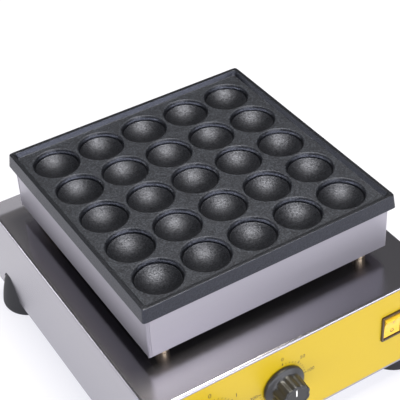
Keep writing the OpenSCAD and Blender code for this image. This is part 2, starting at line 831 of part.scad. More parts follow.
// Ceramic block where the leads meet, on the bottom plate below the sleeve
block_w = 44;
block_d = 24;
block_h = 20;
module terminal_block() {
    color("#ece7da") translate([sensor_x, sleeve_y, z_bottom + sheet]) difference() {
        translate([-block_w / 2, -block_d / 2, 0]) cube([block_w, block_d, block_h]);
        for (k = [-1, 0, 1]) translate([k * block_w / 3, 0, block_h * 0.45]) rotate([90, 0, 0])
            cylinder(h = block_d + 2 * cut, r = 3, center = true);
        for (k = [-0.5, 0.5]) translate([k * block_w / 3, 0, block_h * 0.6])
            translate([-1, -block_d / 2 - cut, 0]) cube([2, block_d + 2 * cut, block_h]);
    }
}

// Capillary thermostat behind the panel
module thermostat_body() {
    cup_r = 13;
    cup_h = 8;
    cup_y = front_back + body_deep - cup_h - cut;
    blade = [0.8, 9, 6.3];
    color("#4b4a48") difference() {
        union() {
            translate([thermostat_x - body_w / 2, front_back, knob_z - body_w / 2])
                cube([body_w, body_deep - cup_h, body_w]);
            on_rear(thermostat_x, knob_z, cup_y) cylinder(h = cup_h + cut, r = cup_r);
            for (s = [-1, 1]) translate([thermostat_x + s * body_w / 3, cup_y, knob_z])
                translate([-blade[0] / 2, 0, -blade[2] / 2]) cube(blade);
        }
        on_front(thermostat_x, knob_z, front_back + shaft_in)
            cylinder(h = shaft_in + cut, r = shaft_r + run_fit);
        for (s = [-1, 1]) on_front(thermostat_x + s * control_screw_x, knob_z, front_back + 6)
            cylinder(h = 6 + cut, r = screw_r + screw_fit);
    }
}

// Clockwork timer behind the panel
module timer_body() {
    blade = [0.8, 9, 6.3];
    color("#d9d5c9") difference() {
        union() {
            on_rear(timer_x, knob_z, front_back) cylinder(h = timer_deep, r = timer_r);
            on_rear(timer_x, knob_z, front_back) cylinder(h = 2, r = timer_r + 1.5);
            for (s = [-1, 1]) translate([timer_x + s * timer_r / 2, front_back + timer_deep - cut, knob_z])
                translate([-blade[0] / 2, 0, -blade[2] / 2]) cube(blade);
        }
        on_front(timer_x, knob_z, front_back + shaft_in)
            cylinder(h = shaft_in + cut, r = shaft_r + run_fit);
        for (s = [-1, 1]) on_front(timer_x + s * control_screw_x, knob_z, front_back + 6)
            cylinder(h = 6 + cut, r = screw_r + screw_fit);
    }
}

// Shaft from inside a control body to the end of its knob's bore
module shaft() {
    back = front_back + shaft_in - fit;
    front = overlay_face - knob_gap - knob_bore + fit;
    on_front(0, knob_z, back) difference() {
        cylinder(h = back - front, r = shaft_r);
        translate([shaft_flat, -shaft_d, back - overlay_face + knob_gap])
            cube([shaft_d, 2 * shaft_d, knob_h]);
    }
}

module thermostat_shaft() {
    color("#b4b4b8") translate([thermostat_x, 0, 0]) shaft();
}

module timer_shaft() {
    color("#b4b4b8") translate([timer_x, 0, 0]) shaft();
}

// Fluted knob with a hollow skirt that clears the screws, and a pointer groove
module knob() {
    skirt_wall = 2.5;
    skirt_step = 3;
    grip_r = knob_r - 5.5;
    grip_z = 6;
    soft = 1.5;
    flute_r = 3.2;
    hub_r = shaft_r + 3;
    groove = 1.4;
    on_front(0, knob_z, overlay_face - knob_gap) difference() {
        union() {
            difference() {
                rotate_extrude() polygon([[0, 0], [knob_r, 0], [knob_r, skirt_step - 0.5],
                    [knob_r - soft, skirt_step + soft], [grip_r, grip_z], [grip_r - 1, knob_h - soft],
                    [grip_r - 1 - soft, knob_h], [0, knob_h]]);
                translate([0, 0, -cut]) cylinder(h = skirt_step + cut + 0.5, r = knob_r - skirt_wall);
            }
            cylinder(h = skirt_step + cut, r = hub_r);
        }
        translate([0, 0, -cut]) flatted_shaft(knob_bore + cut, run_fit);
        for (k = [0 : knob_flutes - 1]) rotate([0, 0, (k + 0.5) * 360 / knob_flutes])
            translate([grip_r + flute_r * 0.55, 0, grip_z + 1.5]) cylinder(h = knob_h, r = flute_r);
        translate([-groove / 2, grip_r / 3, knob_h - 0.8]) cube([groove, grip_r, knob_h]);
    }
}

module thermostat_knob() {
    color("#222326") translate([thermostat_x, 0, 0]) knob();
}

module timer_knob() {
    color("#222326") translate([timer_x, 0, 0]) knob();
}

// Screws that hold the controls to the panel, hidden inside the knobs
module control_screws() {
    color("#c2c2c6") for (x = [timer_x, thermostat_x], s = [-1, 1])
        on_front(x + s * control_screw_x, knob_z, overlay_face)
            pan_screw(overlay_t + sheet + 5, screw_r, screw_head_r, screw_head_h);
}

// Power switch: bezel in front of the overlay, hollow housing behind, two blades
module switch_body() {
    opening_w = switch_w - 2 * switch_frame;
    opening_h = switch_h - 2 * switch_frame + 0.1;
    hollow = 13;
    color("#3a2415") translate([switch_x, overlay_face, switch_z]) difference() {
        union() {
            translate([-switch_w / 2, -switch_proud, -switch_h / 2])
                cube([switch_w, switch_proud, switch_h]);
            translate([-housing_w / 2, -cut, -housing_h / 2])
                cube([housing_w, switch_deep + cut, housing_h]);
            for (s = [-1, 1]) translate([-3.1, switch_deep - cut, s * housing_h / 4]) cube([6.3, 9, 0.8]);
        }
        translate([-opening_w / 2, -switch_proud - cut, -opening_h / 2])
            cube([opening_w, switch_proud + hollow + cut, opening_h]);
        translate([-switch_w, pivot_in, 0]) rotate([0, 90, 0])
            cylinder(h = 2 * switch_w, r = pivot_r + run_fit);
    }
}

// Rocker of the switch, drawn tilted to its off side, with its two pivot stubs
module power_rocker() {
    half_wide = switch_w / 2 - switch_frame - rocker_gap;
    half_tall = (switch_h - 2 * switch_frame) / 2 - 1.1;
    stub = housing_w / 2 - fit;
    color("#e9b832") translate([switch_x, overlay_face + pivot_in, switch_z]) rotate([rocker_tilt, 0, 0]) {
        rotate([90, 0, 90]) translate([0, 0, -half_wide]) linear_extrude(2 * half_wide) polygon([
            [-5.2, half_tall], [-3.9, half_tall / 2], [-3.4, 0], [-3.9, -half_tall / 2], [-5.2, -half_tall],
            [1.5, -half_tall], [5, -4], [5, 4], [1.5, half_tall]]);
        translate([-stub, 0, 0]) rotate([0, 90, 0]) cylinder(h = 2 * stub, r = pivot_r);
    }
}

// Heating lamp: bezel, barrel and blades
module lamp_body() {
    barrel = 22;
    seat = 3;
    color("#2a2a2c") on_front(lamp_x, lamp_z, overlay_face) difference() {
        union() {
            rotate_extrude() polygon([[0, 0], [lamp_d / 2, 0], [lamp_d / 2, lamp_proud - 0.8],
                [lamp_d / 2 - 0.8, lamp_proud], [0, lamp_proud]]);
            translate([0, 0, -barrel]) cylinder(h = barrel + cut, r = lamp_hole_r);
            for (s = [-1, 1]) translate([s * 2.5 - 0.4, -1.5, -barrel - 7]) cube([0.8, 3, 8]);
        }
        translate([0, 0, lamp_proud - seat]) cylinder(h = seat + cut, r = lamp_hole_r - 0.2);
    }
}

// Domed lens of the heating lamp
module lamp_lens() {
    seat = 3;
    dome_r = lamp_hole_r - 0.2 - screw_fit;
    dome_h = 2.4;
    ball = (dome_r * dome_r + dome_h * dome_h) / (2 * dome_h);
    color("#e8a020") on_front(lamp_x, lamp_z, overlay_face - lamp_proud + seat) intersection() {
        cylinder(h = seat + dome_h, r = dome_r);
        translate([0, 0, seat + dome_h - ball]) sphere(ball);
    }
}

// Cable gland: hexagon flange outside the rear panel with its threaded tail inside
module gland_body() {
    color("#2b2b2d") on_rear(gland_x, gland_z, rear_face) difference() {
        union() {
            cylinder(h = gland_hex, d = gland_flats / cos(30), $fn = 6);
            translate([0, 0, -sheet - gland_in]) cylinder(h = sheet + gland_in + cut, r = gland_thread_r);
        }
        hole_through(-sheet - gland_in, sheet + gland_in + gland_hex, gland_bore / 2);
    }
}

module gland_locknut() {
    color("#2b2b2d") on_rear(gland_x, gland_z, rear_front - nut_h)
        hex_nut(gland_flats, nut_h, gland_thread_r + screw_fit);
}

// Domed cap of the gland
module gland_cap() {
    grip = gland_cap_h * 0.55;
    soft = 1.5;
    color("#2b2b2d") on_rear(gland_x, gland_z, rear_face + gland_hex) difference() {
        union() {
            cylinder(h = grip, d = (gland_flats - 2) / cos(30), $fn = 6);
            rotate_extrude() polygon([[0, 0], [gland_flats / 2 - 1, 0], [gland_flats / 2 - 1, grip],
                [gland_bore / 2 + 2 * soft, gland_cap_h - soft], [gland_bore / 2 + soft, gland_cap_h],
                [0, gland_cap_h]]);
        }
        hole_through(0, gland_cap_h, gland_bore / 2);
    }
}

// Moves everything so that the origin is under the middle
module framed() {
    translate([0, frame_y, 0]) children();
}

framed() baking_plate();
framed() heater_skirt();
framed() heater_pan();
framed() insulation_pad();
framed() left_heating_element();
framed() right_heating_element();
framed() terminal_beads();
framed() clamp_bars();
framed() clamp_bolts();
framed() heater_leads();
framed() thermostat_bulb();
framed() bulb_clips();
framed() clip_screws();
framed() plate_studs();
framed() stud_nuts();
framed() stand_off_spacers();
framed() wire_sleeve();
framed() base_shell();
framed() front_panel();
framed() control_overlay();
framed() rear_panel();
framed() rear_screws();
framed() bottom_plate();
framed() left_rail();
framed() right_rail();
framed() bottom_screws();
framed() front_left_foot();
framed() front_right_foot();
framed() rear_left_foot();
framed() rear_right_foot();
framed() foot_screws();
framed() foot_nuts();
framed() terminal_block();
framed() thermostat_body();
framed() thermostat_shaft();
framed() thermostat_knob();
framed() timer_body();
framed() timer_shaft();
framed() timer_knob();
framed() control_screws();
framed() switch_body();
framed() power_rocker();
framed() lamp_body();
framed() lamp_lens();
framed() gland_body();
framed() gland_locknut();
framed() gland_cap();
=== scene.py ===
# %% [markdown]
# # A mini pancake grill
# This is a catering grill for small round pancakes: a dark cast plate with a grid of wells lies on a raised
# heating box, over a folded stainless base with its controls on the front and four conical rubber feet.
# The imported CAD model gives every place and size. Here the pieces in view are modelled again with the soft
# edges, finishes and print of the real ones, and each new piece stands in for the CAD node it follows.

# %% Load the frame
import json
import math

import bmesh
import bpy
from mathutils import Matrix, Vector


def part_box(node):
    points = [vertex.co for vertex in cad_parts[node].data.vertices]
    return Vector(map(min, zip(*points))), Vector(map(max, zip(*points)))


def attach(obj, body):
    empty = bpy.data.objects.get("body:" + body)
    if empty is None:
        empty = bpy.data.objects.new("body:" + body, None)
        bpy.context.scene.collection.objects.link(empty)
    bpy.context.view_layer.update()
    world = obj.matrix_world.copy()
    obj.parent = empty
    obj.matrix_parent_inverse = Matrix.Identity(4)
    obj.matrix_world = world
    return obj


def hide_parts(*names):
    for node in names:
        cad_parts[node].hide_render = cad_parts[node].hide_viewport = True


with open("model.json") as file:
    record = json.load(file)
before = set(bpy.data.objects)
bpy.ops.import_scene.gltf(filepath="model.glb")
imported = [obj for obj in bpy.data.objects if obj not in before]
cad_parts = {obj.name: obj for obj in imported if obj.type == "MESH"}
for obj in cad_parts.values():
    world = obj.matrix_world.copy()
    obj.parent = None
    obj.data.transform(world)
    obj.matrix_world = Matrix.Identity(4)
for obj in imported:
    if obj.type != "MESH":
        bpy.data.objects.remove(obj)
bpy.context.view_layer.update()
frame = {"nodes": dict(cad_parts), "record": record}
MM = 0.001

# %% [markdown]
# The plate's middle is the natural place to measure from: the camera was found from the grid of wells, and
# the heating box below shares its centre. The plate's own box gives it, with the floor lower than the rim's
# top by the height of the lip.


# %% Places that several pieces share
def box_of(name):
    """Lowest corner, highest corner and middle of a CAD node."""
    low, high = (Vector(corner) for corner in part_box(name))
    return low, high, (low + high) / 2


lip_rise = 5 * MM
_, plate_high, plate_middle = box_of("baking_plate")
plate_middle.z = plate_high.z - lip_rise
print("plate floor middle", [round(v, 4) for v in plate_middle])

# %% [markdown]
# A camera in Blender looks along its own -Z with +Y up. The picture was taken from the left front and above,
# so the three axes are built from a turn, a tilt and a small roll, and set as the columns of its matrix. A
# Track To constraint would aim it in one step, but it has no place for the roll.

# %% Camera
camera_data = bpy.data.cameras.new("photo_camera")
camera_data.sensor_width = 36.0
camera_data.lens = 106.343
camera = bpy.data.objects.new("photo_camera", camera_data)
bpy.context.collection.objects.link(camera)
turn, tilt, roll = (math.radians(a) for a in (-29.6305, 38.9273, -3.5199))
back = Vector((math.sin(turn) * math.cos(tilt), -math.cos(turn) * math.cos(tilt), math.sin(tilt)))
level = Vector((math.cos(turn), math.sin(turn), 0.0))
upright = back.cross(level)
right = math.cos(roll) * level + math.sin(roll) * upright
up = -math.sin(roll) * level + math.cos(roll) * upright
camera_from_plate = Vector((-443.11, -785.75, 700.66)) * MM
camera.matrix_world = Matrix((right, up, back)).transposed().to_4x4()
camera.matrix_world.translation = plate_middle + camera_from_plate
bpy.context.scene.camera = camera
print("camera at", [round(v, 3) for v in camera.matrix_world.translation])

# %% [markdown]
# The paper that the grill stands on is lit to plain white. Lamps alone would leave it uneven, so part of its
# brightness is its own, a little bluish, and the steel mirrors that. The plain view transform keeps white
# paper white.

# %% Floor
bpy.context.scene.view_settings.view_transform = "Standard"
paper_half = 6.0
bm = bmesh.new()
bmesh.ops.create_grid(bm, x_segments=1, y_segments=1, size=paper_half)
floor_mesh = bpy.data.meshes.new("studio_floor")
bm.to_mesh(floor_mesh)
bm.free()
studio_floor = bpy.data.objects.new("studio_floor", floor_mesh)
bpy.context.collection.objects.link(studio_floor)
floor_finish = bpy.data.materials.new("studio_paper")
floor_finish.use_nodes = True
paper = floor_finish.node_tree.nodes["Principled BSDF"]
paper.inputs["Base Color"].default_value = (0.18, 0.18, 0.185, 1.0)
paper.inputs["Roughness"].default_value = 0.9
paper.inputs["Emission Color"].default_value = (0.965, 0.965, 1.03, 1.0)
paper.inputs["Emission Strength"].default_value = 0.80
floor_mesh.materials.append(floor_finish)
print("floor", floor_mesh.name)

# %% [markdown]
# Studio light for metal is mostly a matter of what the metal sees, so much of it is painted on the sky. An
# image of a studio would do too, but a few ramps are easier to steer. Three helpers build them: a ramp of
# greys, one step of arithmetic, and how far a direction of the sky agrees with a given one.

# %% Sky helpers
sky = bpy.data.worlds.new("studio_sky")
bpy.context.scene.world = sky
sky.use_nodes = True
sky_tree = sky.node_tree
direction = sky_tree.nodes.new("ShaderNodeTexCoord").outputs["Generated"]


def grey_ramp(tree, value, stops):
    """Grey colour ramp over a value; returns its colour socket."""
    node = tree.nodes.new("ShaderNodeValToRGB")
    tree.links.new(value, node.inputs["Fac"])
    marks = node.color_ramp.elements
    for place, _ in stops[1:-1]:
        marks.new(place)
    for mark, (place, grey) in zip(marks, stops):
        mark.position = place
        mark.color = (grey, grey, grey, 1.0)
    return node.outputs["Color"]


def arithmetic(tree, operation, *operands):
    """One step of arithmetic; each operand is a socket or a number."""
    node = tree.nodes.new("ShaderNodeMath")
    node.operation = operation
    for operand, socket in zip(operands, node.inputs):
        if isinstance(operand, (int, float)):
            socket.default_value = operand
        else:
            tree.links.new(operand, socket)
    return node.outputs["Value"]


def facing(way):
    """How much a direction of the sky agrees with a given one."""
    node = sky_tree.nodes.new("ShaderNodeVectorMath")
    node.operation = "DOT_PRODUCT"
    sky_tree.links.new(direction, node.inputs[0])
    node.inputs[1].default_value = Vector(way).normalized()
    return node.outputs["Value"]


print("sky helpers for", sky.name)

# %% [markdown]
# The sky is dark at the height that the deck mirrors, and paler towards the horizon, except behind the grill:
# the bowls' near sides mirror that part, and they're nearly black. A low bright band in front shows as a thin
# crescent on each well's far wall.

# %% Sky colours
height = facing((0, 0, 1))
pale_stops = ((0.0, 0.90), (0.20, 0.75), (0.42, 0.35), (0.60, 0.17), (1.0, 0.20))
dark_stops = ((0.0, 0.30), (0.12, 0.16), (0.42, 0.12), (0.60, 0.17), (1.0, 0.20))
behind = grey_ramp(sky_tree, facing((0.5, 0.866, 0)), ((0.0, 0.0), (0.55, 1.0)))
turn_dark = sky_tree.nodes.new("ShaderNodeMix")
turn_dark.data_type = "RGBA"
sky_tree.links.new(behind, turn_dark.inputs["Factor"])
sky_tree.links.new(grey_ramp(sky_tree, height, pale_stops), turn_dark.inputs["A"])
sky_tree.links.new(grey_ramp(sky_tree, height, dark_stops), turn_dark.inputs["B"])
band_strength = 7.5
band = grey_ramp(sky_tree, height, ((0.0, 0.0), (0.03, 1.0), (0.17, 1.0), (0.25, 0.0)))
ahead = grey_ramp(sky_tree, facing((-0.5, -0.866, 0)), ((0.0, 0.0), (0.35, 1.0)))
band_ahead = arithmetic(sky_tree, "MULTIPLY", arithmetic(sky_tree, "MULTIPLY", band, ahead), band_strength)
print("sky colours", len(sky_tree.nodes), "nodes")

# %% [markdown]
# The dome and the band are added up as light. The camera itself sees a plain pale backdrop instead, so the
# painted sky never shows above the paper's edge.

# %% Sky shaders
dome = sky_tree.nodes["Background"]
sky_tree.links.new(turn_dark.outputs["Result"], dome.inputs["Color"])
lamps = sky_tree.nodes.new("ShaderNodeBackground")
lamps.inputs["Color"].default_value = (0.90, 0.92, 1.0, 1.0)
sky_tree.links.new(band_ahead, lamps.inputs["Strength"])
both = sky_tree.nodes.new("ShaderNodeAddShader")
sky_tree.links.new(dome.outputs["Background"], both.inputs[0])
sky_tree.links.new(lamps.outputs["Background"], both.inputs[1])
backdrop = sky_tree.nodes.new("ShaderNodeBackground")
backdrop.inputs["Color"].default_value = (0.92, 0.92, 0.92, 1.0)
seen = sky_tree.nodes.new("ShaderNodeMixShader")
sky_tree.links.new(sky_tree.nodes.new("ShaderNodeLightPath").outputs["Is Camera Ray"], seen.inputs["Fac"])
sky_tree.links.new(both.outputs["Shader"], seen.inputs[1])
sky_tree.links.new(backdrop.outputs["Background"], seen.inputs[2])
sky_tree.links.new(seen.outputs["Shader"], sky_tree.nodes["World Output"].inputs["Surface"])
print("sky", len(sky_tree.nodes), "nodes")

# %% [markdown]
# Four lamps do what the sky can't: a soft box high above, which lies in every well as one highlight, a second
# in front that fills the front of the skirt up to a clear edge, a low strip behind on the left that draws the
# bright line along the folded edge, and a small card behind, which only the deck's sloping rear strip
# mirrors. Point lights would show as dots in the steel, so all of them are areas.


# %% Lamps
def soft_box(name, place, aim, size, power, color=(1, 1, 1)):
    """Area light at a place, aimed at a point."""
    data = bpy.data.lights.new(name, "AREA")
    data.shape = "RECTANGLE"
    data.size, data.size_y = size
    data.energy = power
    data.color = color
    light = bpy.data.objects.new(name, data)
    light.location = place
    light.rotation_euler = (Vector(aim) - Vector(place)).to_track_quat("-Z", "Y").to_euler()
    bpy.context.collection.objects.link(light)


soft_box("box_above", (0.28, -0.05, 2.3), plate_middle, (1.0, 1.0), 66, (1.0, 0.955, 0.83))
soft_box("box_camera", (0.07, -1.7, 1.6), plate_middle, (1.7, 1.0), 18)
soft_box("strip_left", (-1.7, 1.6, 0.42), (-0.15, 0, 0.12), (0.6, 0.25), 4)
soft_box("card_behind", (0.22, 1.54, 0.60), (-0.14, 0.163, 0.121), (0.40, 0.40), 0.5)

# %% [markdown]
# Every finish is a node material on Object coordinates, so it stays put when a piece moves. Image textures
# would need maps for each piece; patterns made by nodes need none. The first helper makes the material, hands
# back its shader, and keeps a table of finishes by name.

# %% A plain finish
finishes = {}


def finish(name, color, metallic=0.0, roughness=0.5):
    """New node material with its plain values set on the shader."""
    material = bpy.data.materials.new(name)
    material.use_nodes = True
    shader = material.node_tree.nodes["Principled BSDF"]
    shader.inputs["Base Color"].default_value = (*color, 1.0)
    shader.inputs["Metallic"].default_value = metallic
    shader.inputs["Roughness"].default_value = roughness
    finishes[name] = material
    return material, shader


print("finishes so far", len(finishes))

# %% [markdown]
# Grain, pebble and scratches are all one noise at different scales, stretched where they have a direction.
# The noise keeps close to its middle value, so a second helper spreads that part over the range wanted.


# %% Patterns
def stretched_noise(material, scale, stretch=(1, 1, 1), detail=3.0, roughness=0.55):
    """Noise on Object coordinates, stretched by a Mapping node; returns its Fac socket."""
    nodes, links = material.node_tree.nodes, material.node_tree.links
    where = nodes.new("ShaderNodeTexCoord")
    mapping = nodes.new("ShaderNodeMapping")
    mapping.inputs["Scale"].default_value = stretch
    noise = nodes.new("ShaderNodeTexNoise")
    noise.inputs["Scale"].default_value = scale
    noise.inputs["Detail"].default_value = detail
    noise.inputs["Roughness"].default_value = roughness
    links.new(where.outputs["Object"], mapping.inputs["Vector"])
    links.new(mapping.outputs["Vector"], noise.inputs["Vector"])
    return noise.outputs["Fac"]


def spread(material, fac, low, high):
    """Maps the middle half of a 0 to 1 pattern to a range of values."""
    node = material.node_tree.nodes.new("ShaderNodeMapRange")
    node.inputs["From Min"].default_value = 0.25
    node.inputs["From Max"].default_value = 0.75
    node.inputs["To Min"].default_value = low
    node.inputs["To Max"].default_value = high
    material.node_tree.links.new(fac, node.inputs["Value"])
    return node.outputs["Result"]


print("patterns ready")

# %% [markdown]
# A pattern shows in two ways: the colour varies along it, and the surface stands up along it. The bump is
# given in real heights, so that one setting suits every piece.


# %% Colour and bump from a pattern
def tint(material, fac, dark, light):
    """Blends two colours by a pattern."""
    node = material.node_tree.nodes.new("ShaderNodeMix")
    node.data_type = "RGBA"
    node.inputs["A"].default_value = (*dark, 1.0)
    node.inputs["B"].default_value = (*light, 1.0)
    material.node_tree.links.new(fac, node.inputs["Factor"])
    return node.outputs["Result"]


def mottle(material, shader, fac, color, amount):
    """Lets the base colour vary by a share of itself, along a pattern."""
    pale = tuple(min(1.0, c * (1 + amount)) for c in color)
    deep = tuple(c * (1 - amount) for c in color)
    material.node_tree.links.new(tint(material, fac, deep, pale), shader.inputs["Base Color"])


def emboss(material, shader, fac, height, strength=1.0):
    """Bump of a real height in metres from a pattern; returns its node."""
    node = material.node_tree.nodes.new("ShaderNodeBump")
    node.inputs["Strength"].default_value = strength
    node.inputs["Distance"].default_value = height
    material.node_tree.links.new(fac, node.inputs["Height"])
    material.node_tree.links.new(node.outputs["Normal"], shader.inputs["Normal"])
    return node


print("colour and bump ready")

# %% [markdown]
# The plate has a satin non-stick coat over cast aluminium. Sprayed coats dry with a fine pebble, which breaks
# every highlight into grains, so the pebble shapes the bump and also the strength of the shine. A flat grey
# with one roughness would look like plastic. The coat also differs inside and outside the lip, so its
# coordinates are centred on the plate, and a mask says what lies inside.

# %% Non-stick coat
coat, coat_shader = finish("nonstick_coat", (0.004, 0.0042, 0.005), roughness=0.37)
coat_tree = coat.node_tree
pebble = stretched_noise(coat, 700, detail=2.0, roughness=0.7)
bumps = emboss(coat, coat_shader, pebble, 0.8 * MM)
where = coat_tree.nodes.new("ShaderNodeTexCoord")
centred = coat_tree.nodes.new("ShaderNodeMapping")
centred.inputs["Location"].default_value = -plate_middle
coat_tree.links.new(where.outputs["Object"], centred.inputs["Vector"])
split = coat_tree.nodes.new("ShaderNodeSeparateXYZ")
coat_tree.links.new(centred.outputs["Vector"], split.inputs["Vector"])
lip_foot = 129.3 * MM
sideways = [arithmetic(coat_tree, "ABSOLUTE", split.outputs[axis]) for axis in "XY"]
inside = arithmetic(coat_tree, "LESS_THAN", arithmetic(coat_tree, "MAXIMUM", *sideways), lip_foot)
print("coat masks", len(coat_tree.nodes), "nodes")

# %% [markdown]
# The floor between the wells is left as it was cast, rougher than the machined bowls, and the steep walls are
# the smoothest. The floor also carries far more pale grains than the bowls and walls: partly the cast coat's
# own speckle, partly painted shade that darkens the wells. Separate materials would show a seam, so
# roughness, bump, shine and the pale grains all follow the height above the floor, inside the lip.

# %% Coat by height
lowest, highest = -6.0, 1.0
depth_range = highest - lowest
height_share = arithmetic(coat_tree, "MULTIPLY_ADD", split.outputs["Z"], 1 / (depth_range * MM),
                          -lowest / depth_range)


def by_height(rim, bowl, wall, floor):
    """Value that changes with height inside the lip, and stays the rim's outside it."""
    marks = ((-5.15, bowl), (-4.9, wall), (-1.2, wall), (-0.2, floor), (0.3, floor), (0.8, rim))
    stops = [((z - lowest) / depth_range, value) for z, value in marks]
    away = arithmetic(coat_tree, "SUBTRACT", grey_ramp(coat_tree, height_share, stops), rim)
    return arithmetic(coat_tree, "ADD", arithmetic(coat_tree, "MULTIPLY", inside, away), rim)


roughness = by_height(rim=0.37, bowl=0.45, wall=0.30, floor=0.55)
coat_tree.links.new(roughness, coat_shader.inputs["Roughness"])
# Painted shade in part: bowls and walls get far fewer pale grains than the floor, so the wells read darker.
grains_and_well_shade = arithmetic(coat_tree, "MULTIPLY", spread(coat, pebble, -0.9, 1.4),
                    by_height(rim=0.13, bowl=0.10, wall=0.10, floor=0.85))
coat_color = tint(coat, grains_and_well_shade, (0.0005, 0.0005, 0.0008), (0.039, 0.0445, 0.056))
coat_tree.links.new(coat_color, coat_shader.inputs["Base Color"])
coat_tree.links.new(by_height(rim=0.4, bowl=0.25, wall=0.25, floor=0.4), bumps.inputs["Strength"])
sparkle = arithmetic(coat_tree, "MULTIPLY", spread(coat, pebble, -0.5, 0.5),
                     by_height(rim=0.3, bowl=1.0, wall=1.0, floor=0.2))
shine = arithmetic(coat_tree, "ADD", sparkle, 0.7)
coat_tree.links.new(shine, coat_shader.inputs["Specular IOR Level"])
coat_shader.inputs["Specular Tint"].default_value = (0.77, 0.81, 1.0, 1.0)
print("coat", len(coat_tree.nodes), "nodes")

# %% [markdown]
# Brushed stainless is drawn under an abrasive belt, which leaves long fine scratches one way. Noise stretched
# hundreds of times along that direction gives them, in the roughness and as a very low bump. The scratches
# also smear every reflection across themselves, so the folded sheets have an anisotropic shader too: their
# own UV map "grain" has its first axis across the scratches, and the Tangent node reads it.


# %% Brushed metals
def brushed(name, color, stretch, roughness, smear=0.0):
    """Metal whose scratches run along the axis with the smallest scale; equal scales give plain metal."""
    material, shader = finish(name, color, metallic=1.0, roughness=roughness)
    links = material.node_tree.links
    scratches = stretched_noise(material, 1.0, stretch, detail=4.0)
    uneven = spread(material, scratches, roughness - 0.02, roughness + 0.02)
    links.new(uneven, shader.inputs["Roughness"])
    mottle(material, shader, scratches, color, 0.04)
    emboss(material, shader, scratches, 0.004 * MM, 0.2)
    if smear:
        shader.inputs["Anisotropic"].default_value = smear
        across = material.node_tree.nodes.new("ShaderNodeTangent")
        across.direction_type = "UV_MAP"
        across.uv_map = "grain"
        links.new(across.outputs["Tangent"], shader.inputs["Tangent"])


stainless = (0.415, 0.40, 0.450)
# Painted shade: the folded base is the same stainless made about a seventh darker, so its deck reads darker.
brushed("steel_deck", (0.354, 0.342, 0.379), (20, 2600, 2600), 0.19, smear=0.85)
brushed("steel_skirt", stainless, (8, 8, 1300), 0.38, smear=0.6)
brushed("steel_sheet", stainless, (20, 2600, 2600), 0.32)
brushed("steel_inner", (0.42, 0.42, 0.43), (40, 40, 40), 0.45)
brushed("steel_zinc", (0.55, 0.55, 0.57), (300, 300, 300), 0.32)
brushed("steel_dark", (0.16, 0.15, 0.14), (200, 200, 200), 0.5)
brushed("spacer_brass", (0.66, 0.55, 0.38), (900, 900, 8), 0.28)
brushed("copper_tube", (0.62, 0.34, 0.18), (300, 300, 300), 0.35)
print("metals", [name for name in finishes if name != "nonstick_coat"])

# %% [markdown]
# The moulded and rubber pieces get a matt or satin shader with a fine grain. The yellow film is a printed
# polyester sheet: satin, with a faint texture. The switch's lens lets light through, so it has some
# transmission, but not so much that it needs a lamp behind it.


# %% Plastics, rubber, film and the rest
def moulded(name, color, roughness, grain=900, depth=0.06, mottling=0.12):
    """Finish with a fine grain; depth is in millimetres. Returns the shader."""
    material, shader = finish(name, color, roughness=roughness)
    texture = stretched_noise(material, grain, detail=2.0)
    emboss(material, shader, texture, depth * MM, 0.4)
    mottle(material, shader, texture, color, mottling)
    return shader


moulded("yellow_film", (0.475, 0.331, 0.0068), 0.40, 1600, 0.02, 0.03)
rubber = moulded("foot_rubber", (0.014, 0.014, 0.0165), 0.58, 700, 0.12)
rubber.inputs["Specular IOR Level"].default_value = 0.25
moulded("knob_black", (0.016, 0.016, 0.018), 0.36, 1200)
moulded("control_black", (0.035, 0.035, 0.036), 0.5)
moulded("timer_cream", (0.66, 0.62, 0.52), 0.5)
moulded("switch_brown", (0.050, 0.026, 0.012), 0.28, 1500, 0.02)
moulded("ceramic_white", (0.80, 0.77, 0.69), 0.6)
moulded("fibre_pad", (0.74, 0.71, 0.62), 0.95, 260, 0.6)
moulded("lead_braid", (0.64, 0.60, 0.50), 0.8, 1300, 0.2)
moulded("print_black", (0.02, 0.02, 0.02), 0.45, 1600, 0.01)
moulded("print_white", (0.80, 0.80, 0.78), 0.45, 1600, 0.01)
amber = moulded("amber_lens", (0.90, 0.55, 0.04), 0.18, 1500, 0.01, 0.04)
amber.inputs["Transmission Weight"].default_value = 0.15
amber.inputs["IOR"].default_value = 1.49
print("finishes", sorted(finishes))

# %% [markdown]
# Each CAD node takes the finish that its record slot stands for. The pieces remodelled below hide some of
# these nodes, but the rest, such as screws, panels and the insides, are shown as they are. The heating box's
# pan is the one exception: it gets the elements' dark finish as painted shade, so the gap under the box
# stays dark where the deck mirrors it.

# %% Finishes on the CAD nodes
slot_finish = {"nonstick": "nonstick_coat", "stainless": "steel_sheet", "inner_sheet": "steel_inner",
               "zinc_steel": "steel_zinc", "element_sheath": "steel_dark", "spacer_brass": "spacer_brass",
               "copper": "copper_tube", "white_ceramic": "ceramic_white", "fibre": "fibre_pad",
               "lead_sleeving": "lead_braid", "yellow_film": "yellow_film", "foot_rubber": "foot_rubber",
               "knob_plastic": "knob_black", "control_plastic": "control_black",
               "timer_plastic": "timer_cream", "switch_brown": "switch_brown", "amber": "amber_lens"}
for part in frame["record"]["subparts"]:
    node = frame["nodes"][part["node"]]
    node.data.materials.clear()
    node.data.materials.append(finishes[slot_finish[part["material_slot"]]])
# Painted shade: the pan takes the elements' dark finish so the gap under the box stays dark in the deck.
frame["nodes"]["heater_pan"].data.materials[0] = finishes["steel_dark"]

# %% [markdown]
# New pieces all end the same way: doubles merged, normals turned outwards, smooth shading with sharp edges
# kept, a finish, a body to ride on, and the node they stand for. One helper does it, so no piece forgets a
# step. A folded sheet also gets its grain: a function that says, for a face and a point on it, how far across
# and along the scratches it lies.

# %% Finishing a piece
weld = 1e-6


